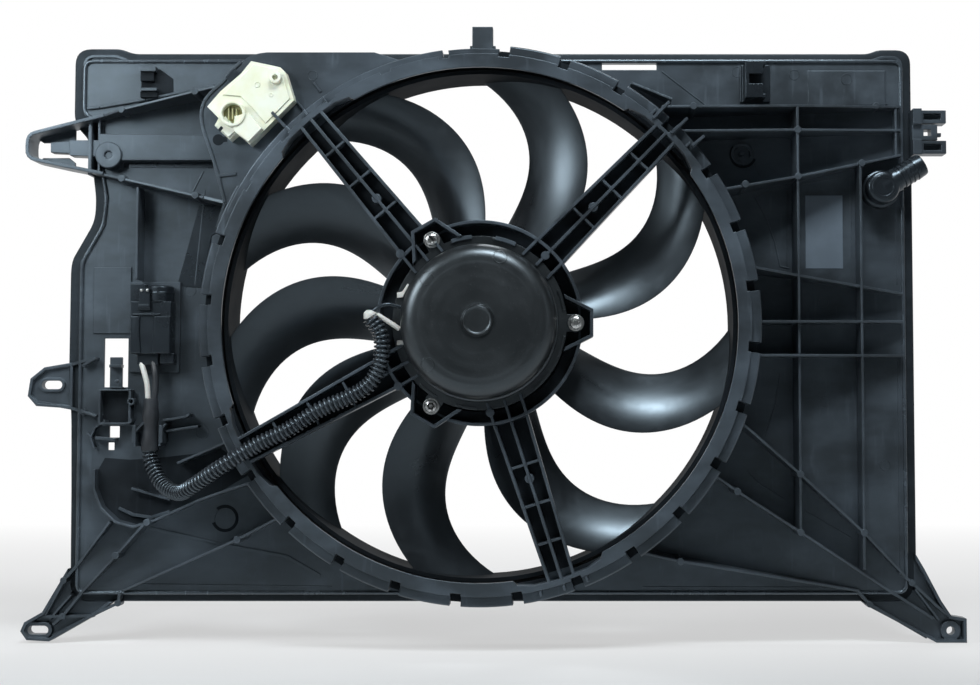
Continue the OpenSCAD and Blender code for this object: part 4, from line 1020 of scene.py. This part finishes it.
class FAN_OT_ring(bpy.types.Operator):
    """Castellated blocks of the ring, with painted shade in its gaps and on the floors of the spokes"""

    bl_idname = "fan_module.ring"
    bl_label = "Ring relief"

    gap, inner, outer, face = 2.2, 207.3, 216, 50.6
    # Stubs between the ring and the panel at the upper right
    stubs = [[(132.3, 156.8), (144.9, 169.8)], [(146.5, 145.4), (158.7, 157.1)],
             [(162.2, 135.7), (171.4, 143.3)]]
    # Dark sheet in the pit below the connector, as painted shade
    pit = [(-280.7, -105.7), (-258.7, -104.2), (-230.4, -101.0), (-210.0, -96.3), (-183.0, -113.6),
           (-187.7, -118.3), (-211.1, -131.8), (-248.7, -146.8), (-264.3, -154.0), (-280.0, -157.1),
           (-297.3, -151.5), (-307.8, -137.1), (-308.1, -116.7), (-301.2, -104.2)]
    # Dark sheet in a well beside the connector, as painted shade
    well = [(-305.0, -51.0), (-281.2, -51.0), (-280.9, -75.7), (-304.7, -75.7)]

    def execute(self, context):
        self.blocks()
        self.floors()
        mould = Mould("flange_bars")
        for middle in (72.5, 102.2):
            mould.hoop(64.2, 67.2, LUGS - 0.1, LUGS + 2.1, steps=8, start=middle - 7, sweep=14)
        mould.done("shroud_plastic", round_by=0.3)
        mould = Mould("ring_stubs")
        for line in self.stubs:
            mould.bars(line, 2.2, 66, 72.8)
        mould.done("ring_plastic", round_by=0.35)
        self.gaps()
        return {"FINISHED"}

    def gap_angles(self):
        """The middles of the gaps between blocks."""
        return [FIRST_GAP + 360 * i / BLOCKS for i in range(BLOCKS)]

    def blocks(self):
        """Blocks round the ring, and the plain apron where the platform meets it."""
        mould = Mould("ring_blocks")
        for middle in self.gap_angles():
            start = middle + self.gap / 2
            if not 84 < start < 150:
                mould.turned([(self.inner, self.face), (self.inner, 63.4), (208.4, 64.2), (214.9, 64.2),
                              (self.outer, 63.2), (self.outer, self.face)],
                             steps=6, start=start, sweep=360 / BLOCKS - self.gap)
        mould.done("ring_plastic", sharp=40, round_by=0.4)
        mould = Mould("ring_apron")
        mould.turned([(205.4, 51.5), (205.4, 64.3), (213.2, 64.3), (213.8, 63.6), (213.8, 51.5)],
                     steps=24, start=98, sweep=58)
        mould.done("ring_plastic", sharp=40, round_by=0.4)

    def floors(self):
        """Dark sheets between the ribs of the spokes and in the motor carrier, as painted shade of the deep
        cells.
        """
        near, far, rib = 79, 197, 1.3
        mould = Mould("spoke_painted_shade_floors")
        for angle in SPOKES:
            along, across = out_and_across(angle)
            for side in (-1, 1):
                mould.prism([along * near + across * side * rib, along * far + across * side * rib,
                             along * far + across * side * 8.6, along * near + across * side * 11.6],
                            CARRIER + 0.9, CARRIER + 1.25)
        # Dark ring on the carrier floor and dark pads in the lug pockets, as painted shade
        mould.hoop(67.7, 75.8, CARRIER + 0.02, CARRIER + 0.3, steps=96)
        for angle in (0, 120, 240):
            along, across = out_and_across(angle)
            mould.prism([along * 77 + across * -14, along * 83.5 + across * -9.2,
                         along * 83.5 + across * 9.2, along * 77 + across * 14],
                        CARRIER + 0.05, CARRIER + 0.35)
        mould.done("dull_painted_shade_plastic")

    def gaps(self):
        """Dark sheets in the gaps between blocks and in the grooves and wells of the panel, as painted shade.
        """
        mould = Mould("ring_gap_painted_shade")
        low = SKIN - 0.3
        # Dark rings round two bosses, as painted shade of their grooves
        mould.hoop(8.8, 10.9, low, low + 0.6, (208.4, 139.0), 40, 140, 200)
        mould.hoop(8.4, 10.8, low, low + 0.6, (-205.2, -152.2), 40, -160, 290)
        wide = self.gap - 0.06
        for middle in self.gap_angles():
            if not 96 < middle < 160:
                mould.hoop(205.6, 213.2, 49.6, 55.5, steps=2, start=middle - wide / 2, sweep=wide)
        mould.prism(self.pit, ROOT, 14.75)
        mould.prism(self.well, ROOT, 14.8)
        mould.done("dull_painted_shade_plastic")


class FAN_OT_relief(bpy.types.Operator):
    """Thin walls that run onto the feet, and the relief round the screw boss"""

    bl_idname = "fan_module.relief"
    bl_label = "Panel relief"

    # Skin of the panel: left, right and lower edge
    left, right, low = -325, 336.5, -212
    # Thin walls as points across, up and top: side ear, left foot, right foot
    walls = [
        [(-221, 101, 42), (-200, 95.5, 49)], [(-200, 95.5, 49), (-206, 76.2, 49)],
        [(-330.1, -29.7, 11.5), (-319.1, -27.3, 17.5), (-308.4, -25.2, 17.8)],
        [(-356.7, -59.9, 10.5), (-329, -64.9, 12), (-318, -67.7, 18), (-302.5, -71.1, 17.8)],
        [(-264.4, -159.8, 15.1), (-198.8, -174.4, 15.3), (-155.7, -182.1, 15.3), (-129, -197.4, 15.3)],
        [(-289.5, -144, 15.5), (-277.7, -149, 17.5), (-263.7, -151.1, 18), (-248.6, -146.7, 17)],
        [(-317, -184, 17.8), (-331.7, -200.8, 17.5), (-347.2, -228.4, 14.5)],
        [(-317, -210, 17.8), (-332.5, -228.9, 16), (-340.8, -236.1, 14.5)],
        [(-287, -210, 18.5), (-288.6, -218.7, 17), (-308.5, -228.2, 15.5), (-340.8, -244.7, 14)],
        [(-348.1, -229.7, 14), (-333.2, -229.7, 14), (-308.9, -229.2, 14)],
        [(329.4, -194.1, 19), (339.5, -202.7, 18), (358.9, -220.6, 16), (368.1, -228.3, 15)],
        [(316.6, -205.8, 19), (338.5, -219.5, 17.5), (357.1, -231.5, 15.5)],
        [(296.6, -209.1, 19), (305.9, -219.5, 17.5), (351.6, -246, 15)],
    ]
    # Round bosses on those walls, as across, up and top
    bosses = [(-318.0, -67.7, 18.6), (-331.7, -200.8, 18.2), (-332.5, -228.9, 16.8),
              (-288.6, -218.7, 17.8), (339.5, -202.7, 18.8), (305.9, -219.5, 18.2)]
    # Dark sheets beside the cable trough and under the screw boss, as painted shade
    moat = [(-244.7, 36.4), (-239.7, 32.5), (-224.0, 31.5), (-218.5, 73.0), (-208.0, 80.0),
            (-207.0, 98.0), (-228.7, 98.3), (-230.2, 91.8), (-238.1, 61.1)]
    moat_low = [(-289.1, 133.7), (-289.1, 128.5), (-216.8, 128.1), (-218.1, 133.7)]

    def execute(self, context):
        mould = Mould("foot_ribs")
        for line in self.walls:
            mould.rib(self.rooted(line), 2.3)
        for x, z, top in self.bosses:
            mould.hoop(0.2, 2.6, self.root(x, z), top, (x, z), 24)
        mould.done("shroud_plastic", round_by=0.4)
        mould = Mould("boss_collar")
        mould.turned([(3.15, 17.8), (3.15, 24.9), (4, 25.3), (9.9, 25.3), (10.6, 24.6), (10.6, 12)],
                     (-299, 137), 48)
        mould.done("ring_plastic", sharp=40)
        mould = Mould("boss_channel")
        mould.prism([(-214.9, 132.7), (-222.0, 153.5), (-308.5, 154.6), (-306.2, 132.5)], ROOT, 23.6, 0.8)
        mould.done("shroud_plastic", round_by=0.9)
        # Dark sheets on the skin, as painted shade
        mould = Mould("panel_moat_painted_shade")
        mould.prism(self.moat, ROOT, 14.85)
        mould.prism(self.moat_low, ROOT, 14.8)
        mould.done("harness_black")
        mould = Mould("plate_bead")
        mould.bars([(-319.7, 176.3), (-309.3, 177.3), (-272.3, 183.6), (-216.9, 195.0)], 2.6,
                   SKIN + 0.1, SKIN + 1.9)
        mould.done("shroud_plastic", round_by=0.8)
        return {"FINISHED"}

    def root(self, x, z):
        """Where a wall starts: inside the skin over the panel, and on the low flange elsewhere."""
        return ROOT if self.left < x < self.right and z > self.low else FLANGE_ROOT

    def rooted(self, line):
        """The wall's points with their roots, stepped where the wall leaves the skin."""
        made = []
        for a, b in zip(line, line[1:]):
            here, there = self.root(*a[:2]), self.root(*b[:2])
            made.append((*a[:2], here, a[2]))
            if here != there:
                near, far = Vector(a), Vector(b)
                for _ in range(20):
                    middle = (near + far) / 2
                    if self.root(*middle.xy) == here:
                        near = middle
                    else:
                        far = middle
                x, z, top = (round(v, 1) for v in near)
                made += [(x, z, here, top), (x, z, there, top)]
        x, z, top = line[-1]
        return made + [(x, z, self.root(x, z), top)]


class FAN_OT_connector(bpy.types.Operator):
    """Connector pair, its latch, the cradle's funnel and the snap pockets beside it"""

    bl_idname = "fan_module.connector"
    bl_label = "Connector"

    # Thin walls on the panel, as lines of points across and up, width and top
    walls = [
        ([(-299.6, -73.9), (-298.8, -76.7), (-285.9, -77.5), (-278.2, -75.9), (-278.3, -73.1)], 1.3, 23.8),
        ([(-265.6, -75.5), (-273.1, -83.5), (-273.1, -94.7)], 1.8, 31.5),
        ([(-249.5, -77.1), (-253.4, -84.3), (-253.4, -94.7)], 1.8, 31.5),
        ([(-252.6, -74.3), (-234.3, -71.5), (-231.5, -69.5)], 1.8, 26),
        ([(-307.3, -88.2), (-291.5, -89.6)], 2.4, 21.8),
        ([(-299.8, -74.5), (-308, -80), (-311.5, -88), (-308.5, -96)], 1.4, 20),
        ([(-314.8, -84.5), (-310.4, -88)], 1.6, 18.6),
        ([(-299.8, -50.4), (-279.4, -50.4)], 1.2, 22.8),
    ]

    def execute(self, context):
        plug = Mould("connector_plug_moulded")
        plug.box((-277.3, -245.3), (-21.8, 19.6), (18, 32.4))
        plug.prism([(-277, -21.6), (-268.6, -21.6), (-269.6, -3.5), (-269.6, 8), (-277, 8)], 31.8, 33.6, 0.3)
        plug.prism([(-260, -21.6), (-245.6, -21.6), (-245.6, 8), (-259, 8), (-259, -3.5)], 31.8, 33.6, 0.3)
        plug.box((-275.6, -254), (8.4, 10), (32, 34.2))
        plug.box((-254.7, -243.5), (-29.5, -21.4), (19, 29.5))
        plug.box((-272.8, -256), (-30.4, -21.4), (19, 28.4))
        piece = plug.done("harness_black", round_by=0.8, segments=3)
        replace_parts(piece, "connector_plug")
        socket = Mould("connector_socket_moulded")
        socket.box((-278.3, -266.4), (19.4, 33.2), (18, 29.6))
        for places, radii in (((19.2, 20.4, 30.8, 32.2), [10.2, 10.7, 10.7, 9.6]),
                              ((25.2, 25.6, 26.6, 27.0), [10.6, 11.0, 11.0, 10.6])):
            socket.tube([Vector((-256.2, z, 23.4)) for z in places], radii, 40)
        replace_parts(socket.done("harness_black", round_by=0.6), "connector_socket")
        latch = Mould("connector_latch_moulded")
        latch.prism([(-271, 12), (-260.6, 12), (-261.6, 30), (-270, 30)], 29, 35.2, 0.6)
        latch.box((-270.4, -261), (14, 16.8), (35, 36.2))
        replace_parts(latch.done("harness_black", round_by=0.6, segments=3), "connector_latch")
        pins = Mould("connector_keeper")
        for x, z in ((-268, 28), (-263.4, 28)):
            pins.lathe([(0, 36.3), (0.9, 36.1), (1.3, 35.6), (1.3, 34.6), (0, 34.6)], (x, z), 18)
        pins.done("bright_steel", sharp=60)
        self.snaps()
        return {"FINISHED"}

    def snaps(self):
        """Snap tongues, pocket edges and hooks that stand on the panel."""
        mould = Mould("snap_details")
        mould.box((-297, -287.4), (-32.4, -30.1), (ROOT, 21.5))
        mould.box((-297.2, -287.2), (-49, -47.6), (ROOT, 18))
        for line, width, front in self.walls:
            mould.bars(line, width, ROOT, front)
        mould.turned([(0.01, 18), (1.7, 18), (1.4, 19.6), (0.01, 19.8)], (-291.4, -43.2), 20)
        mould.hoop(1.6, 2.9, ROOT, 24.6, (-278.4, -59.4), 24)
        mould.done("shroud_plastic", round_by=0.35)
        # Bracket plate and blocks in the darker copy of the plastic, as painted shade
        mould = Mould("window_bracket")
        mould.prism([(-276.6, 204.4), (-261.4, 208.4), (-250.6, 200.6), (-250.4, 188.4), (-256, 185.6),
                     (-271.4, 183.2), (-276.6, 188)], 14.2, 14.9, 0.2)
        mould.box((-276, -265.2), (198, 206), (14.4, 19))
        mould.box((-276, -262.4), (184.6, 189.4), (14.4, 19))
        mould.done("dull_painted_shade_plastic", round_by=0.3)
        mould = Mould("window_hooks")
        mould.box((-275.8, -263.2), (205.3, 209.2), (14.4, 21.4))
        mould.box((-275.6, -262), (189.4, 192), (14.4, 21.4))
        mould.done("shroud_plastic", round_by=0.35)


class FAN_OT_control(bpy.types.Operator):
    """Ivory control module with its socket collar, screw boss and tab"""

    bl_idname = "fan_module.control"
    bl_label = "Control module"

    socket_at = (-190.8, 161.5)

    def execute(self, context):
        shape = [(-178, 204), (-155, 199), (-151, 195), (-144, 173), (-178, 138), (-188, 147), (-194, 142),
                 (-206, 153), (-203, 159), (-212, 168), (-202, 180), (-186, 194)]
        mould = Mould("control_module_moulded")
        mould.prism(shape, PLATFORM, 61.8, 0.4)
        mould.prism([(-176, 201), (-157, 197), (-153.5, 193.5), (-147.4, 174), (-166, 154.6), (-176, 166),
                     (-186, 176), (-200, 177)], 61.5, 62.7, 0.5)
        mould.prism([(-190, 147.6), (-178.2, 139), (-167.6, 150), (-178.6, 163), (-190, 160)], 61.4, 67, 0.8)
        mould.prism([(-205, 153), (-194.2, 143.4), (-187, 150), (-197, 160.4)], 61.4, 64.6, 0.6)
        mould.turned([(7.6, 60), (10.2, 60), (9.9, 68.2), (8.1, 68.4), (7.7, 67.8)], self.socket_at, 64)
        mould.turned([(1.7, 60), (5.4, 60), (4.5, 66.4), (2.1, 66.6)], (-158.5, 190), 36)
        mould.turned([(1.6, 62), (2.4, 62), (2.3, 63.1), (1.7, 63.1)], (-172.8, 185), 24)
        mould.turned([(1.1, 62), (1.7, 62), (1.6, 63), (1.2, 63)], (-162, 177), 20)
        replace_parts(mould.done("ivory_plastic", round_by=0.55, segments=3, angle=30), "control_module")
        mould = Mould("module_socket_inside")
        mould.lathe([(0, 62.5), (5.5, 62.45), (7.7, 62.4), (7.7, 61), (0, 61)], self.socket_at, 40)
        for x in (-194.6, -191.6, -188.6):
            mould.box((x, x + 1.1), (157, 166), (62, 66), 0.2)
        mould.done("socket_plastic", round_by=0.2)
        # Dark sheets on the tab and round its foot, as painted shade of the slot and the recess under it
        mould = Mould("module_tab_slot_painted_shade")
        mould.prism([(-202.4, 149.4), (-200.6, 147.8), (-198.2, 150.8), (-200, 152.4)], 64.2, 64.75)
        mould.hoop(0.01, 4.4, PLATFORM - 0.2, PLATFORM + 0.15, (-205, 144), 28)
        mould.box((-204.8, -198), (142.4, 146.4), (PLATFORM - 0.2, PLATFORM + 0.1))
        mould.done("dull_painted_shade_plastic")
        return {"FINISHED"}


class FAN_OT_fittings(bpy.types.Operator):
    """Hose elbow, lead terminals and bare label pad"""

    bl_idname = "fan_module.fittings"
    bl_label = "Small fittings"

    elbow_at, elbow_turn = (317, 110), 31
    # Barbed spigot and its bore, as distances along it and radii
    spigot = ((0, 9.8), (14, 9.8), (14.2, 8.9), (17, 8.9), (17.6, 9.7), (21, 9.0), (21.4, 9.7), (25, 9.0),
              (25.4, 9.7), (29, 9.0), (29.4, 9.7), (36, 9.1), (37.5, 8.7), (37.5, 6.2), (24, 6))

    def execute(self, context):
        mould = Mould("hose_elbow_moulded")
        x, z = self.elbow_at
        body = ((0, 21), (8, 21), (11.2, 20.4), (12.2, 19.4), (12.9, 17.4), (13, 9.6), (13.8, 9.4),
                (14.8, 8.8), (15, 8), (15, 0), (0, 0))
        mould.lathe([(q, SKIN + up) for q, up in body], (x, z), 56)
        lip = ((7.2, 20.4), (9.4, 20.4), (9.2, 21.6), (7.4, 21.6))
        mould.turned([(q, SKIN + up) for q, up in lip], (x, z), 48)
        run = Vector((*polar(1, self.elbow_turn), 0))
        side, up = Vector((-run.y, run.x, 0)), Vector((0, 0, 1))
        rings = []
        for along, radius in self.spigot:
            p = Vector((x, z, SKIN + 11.5)) + run * along
            rings.append([p + px * side + pz * up for px, pz in circle(radius, 40)])
        mould.skin(rings)
        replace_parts(mould.done("harness_black", sharp=38), "hose_elbow")
        mould = Mould("lead_terminals_cut")
        back, front = LUGS - 0.9, LUGS + 1.9
        mould.prism([(-62.9, 22.9), (-58.7, 23.7), (-54.8, 29.9), (-53.6, 29), (-58.3, 19.4), (-62.6, 18.9)],
                    back, front)
        mould.box((-62.9, -57.6), (-16.9, -13.4), (back, front))
        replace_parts(mould.done("wire_white", round_by=0.4), "lead_terminals")
        mould = Mould("bare_pad")
        mould.box((258, 288), (47, 106), (SKIN - 0.3, SKIN + 0.3))
        mould.done("pad_plastic", round_by=0.2)
        return {"FINISHED"}


class FAN_OT_stage(bpy.types.Operator):
    """Pale floor, white backdrop, soft lamps and the camera"""

    bl_idname = "fan_module.stage"
    bl_label = "Stage and camera"

    def execute(self, context):
        scene = context.scene
        scene.view_settings.view_transform = "Standard"
        low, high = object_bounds()
        self.floor(low.z - 0.0005, tuple(scene.fan_colours.floor))
        self.backdrop(low.z)
        scene.world = self.air(0.026, 0.04)
        middle = (low + high) / 2
        for name, spot, size, power, colour in (
                ("overhead softbox", (0.18, -0.66, 1.12), (0.50, 0.34), 16, (0.90, 0.96, 1.0)),
                ("window", (-0.60, -0.42, 0.36), (0.36, 0.28), 3.6, (0.92, 0.97, 1.0)),
                ("left softbox", (-1.55, -0.85, 0.40), (0.3, 0.7), 1.0, (0.90, 0.96, 1.0)),
                ("right softbox", (1.5, -0.8, 0.35), (0.35, 1.0), 0.7, (0.90, 0.96, 1.0)),
                ("rear softbox", (0.30, 1.20, 1.60), (0.8, 0.4), 9, (0.92, 0.97, 1.0))):
            self.lamp(name, middle + Vector(spot), middle, size, power, colour)
        lens = bpy.data.cameras.new("photo camera")
        camera = bpy.data.objects.new("photo camera", lens)
        scene.collection.objects.link(camera)
        scene.camera = camera
        camera.location = (-0.3099, -1.166, 0.1732)
        pitch, photo_width, shift = 2.753, 980, 70
        camera.rotation_euler = (math.radians(90 + pitch), 0, 0)
        lens.lens, lens.sensor_width = 53.155, 36
        lens.shift_x = -shift / photo_width
        lens.clip_start, lens.clip_end = 0.05, 50
        return {"FINISHED"}

    def air(self, dim, mirrored):
        """A dim world that the camera sees as white, and reflections as a little of it."""
        s = Shade("studio air", world=True)
        seen = s.larger(s.ray("Camera"), s.ray("Transmission"))
        s.set(Color=s.mix((0.86, 0.93, 1.0), (1, 1, 1), seen),
              Strength=seen * (1 - dim) + s.ray("Glossy") * mirrored + dim)
        return s.material

    def lamp(self, name, spot, target, size, power, colour):
        """A rectangular area lamp aimed at a point."""
        data = bpy.data.lights.new(name, "AREA")
        data.shape, data.size, data.size_y = "RECTANGLE", size[0], size[1]
        data.energy, data.color = power, colour
        lamp = bpy.data.objects.new(name, data)
        bpy.context.scene.collection.objects.link(lamp)
        lamp.location = spot
        lamp.rotation_euler = (target - spot).to_track_quat("-Z", "Y").to_euler()

    def plane(self, name, corners, material):
        """A flat stage object."""
        mesh = bpy.data.meshes.new(name)
        mesh.from_pydata(corners, [], [(0, 1, 2, 3)])
        mesh.materials.append(material)
        made = bpy.data.objects.new(name, mesh)
        bpy.context.scene.collection.objects.link(made)
        made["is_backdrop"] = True

    def pale(self, name, colour, shown):
        """A matt pale material that the camera and reflections see as white by a share."""
        s = Shade(name)
        seen = s.larger(s.larger(s.ray("Camera"), s.ray("Glossy")), s.ray("Transmission"))
        s.set(Base_Color=s.mix(colour, [c * 0.985 for c in colour], s.noise(3)))
        s.set(Roughness=0.9, Specular_IOR_Level=0.1)
        white = s.add("ShaderNodeEmission", inputs={"Color": (1, 1, 1), "Strength": 1.0})
        plain = Value(s, s.body.outputs[0])
        mixed = s.add("ShaderNodeMixShader", inputs={0: seen * shown(s), 1: plain, 2: white})
        s.tree.links.new(mixed.socket, s.out.inputs[0])
        return s.material

    def floor(self, level, colour):
        """Pale floor that whitens away from the part."""
        def shown(s):
            deep = s.add("ShaderNodeSeparateXYZ", inputs={0: s.spot}, out="Y")
            away = s.add("ShaderNodeVectorMath", {"operation": "LENGTH"}, {0: s.spot}, "Value")
            near = s.ramp(deep, -0.35, -0.05) * 0.55 + s.ramp(deep, 0.1, 1.2) * 0.45
            return s.larger(near, s.ramp(away, 0.8, 2.2) * s.ray("Camera"))
        self.plane("studio_floor", [(-6, -5, level), (6, -5, level), (6, 4, level), (-6, 4, level)],
                   self.pale("studio floor", colour, shown))

    def backdrop(self, level):
        """White wall far behind the part."""
        self.plane("studio_backdrop", [(-8, 3.9, level - 1), (8, 3.9, level - 1), (8, 3.9, level + 7),
                                       (-8, 3.9, level + 7)],
                   self.pale("studio backdrop", (0.8, 0.8, 0.8), lambda s: 1.0))


class FAN_PT_sidebar(bpy.types.Panel):
    """Lists the steps and the settings of the radiator fan"""

    bl_label = "Radiator fan"
    bl_idname = "FAN_PT_sidebar"
    bl_space_type = "VIEW_3D"
    bl_region_type = "UI"
    bl_category = "Fan module"

    def draw(self, context):
        for group in (context.scene.fan_colours, context.scene.fan_sizes):
            box = self.layout.box()
            for key in group.__annotations__:
                box.prop(group, key)
        for step in STEPS:
            self.layout.operator(step)


# The operators stand in the order in which they run
CLASSES = (FanColours, FanSizes, FAN_OT_finishes, FAN_OT_mouldings, FAN_OT_blades, FAN_OT_motor,
           FAN_OT_conduit, FAN_OT_trim, FAN_OT_ear, FAN_OT_edge, FAN_OT_ring, FAN_OT_relief,
           FAN_OT_connector, FAN_OT_control, FAN_OT_fittings, FAN_OT_stage, FAN_PT_sidebar)
STEPS = [made.bl_idname for made in CLASSES if issubclass(made, bpy.types.Operator)]


def register():
    """Registers the classes and gives the scene its settings."""
    for made in CLASSES:
        bpy.utils.register_class(made)
    bpy.types.Scene.fan_colours = PointerProperty(type=FanColours)
    bpy.types.Scene.fan_sizes = PointerProperty(type=FanSizes)


def unregister():
    """Takes back what register does."""
    del bpy.types.Scene.fan_sizes
    del bpy.types.Scene.fan_colours
    for made in reversed(CLASSES):
        bpy.utils.unregister_class(made)


def main():
    """Runs every step."""
    register()
    for step in STEPS:
        group, name = step.split(".")
        getattr(getattr(bpy.ops, group), name)()


if __name__ == "__main__":
    main()
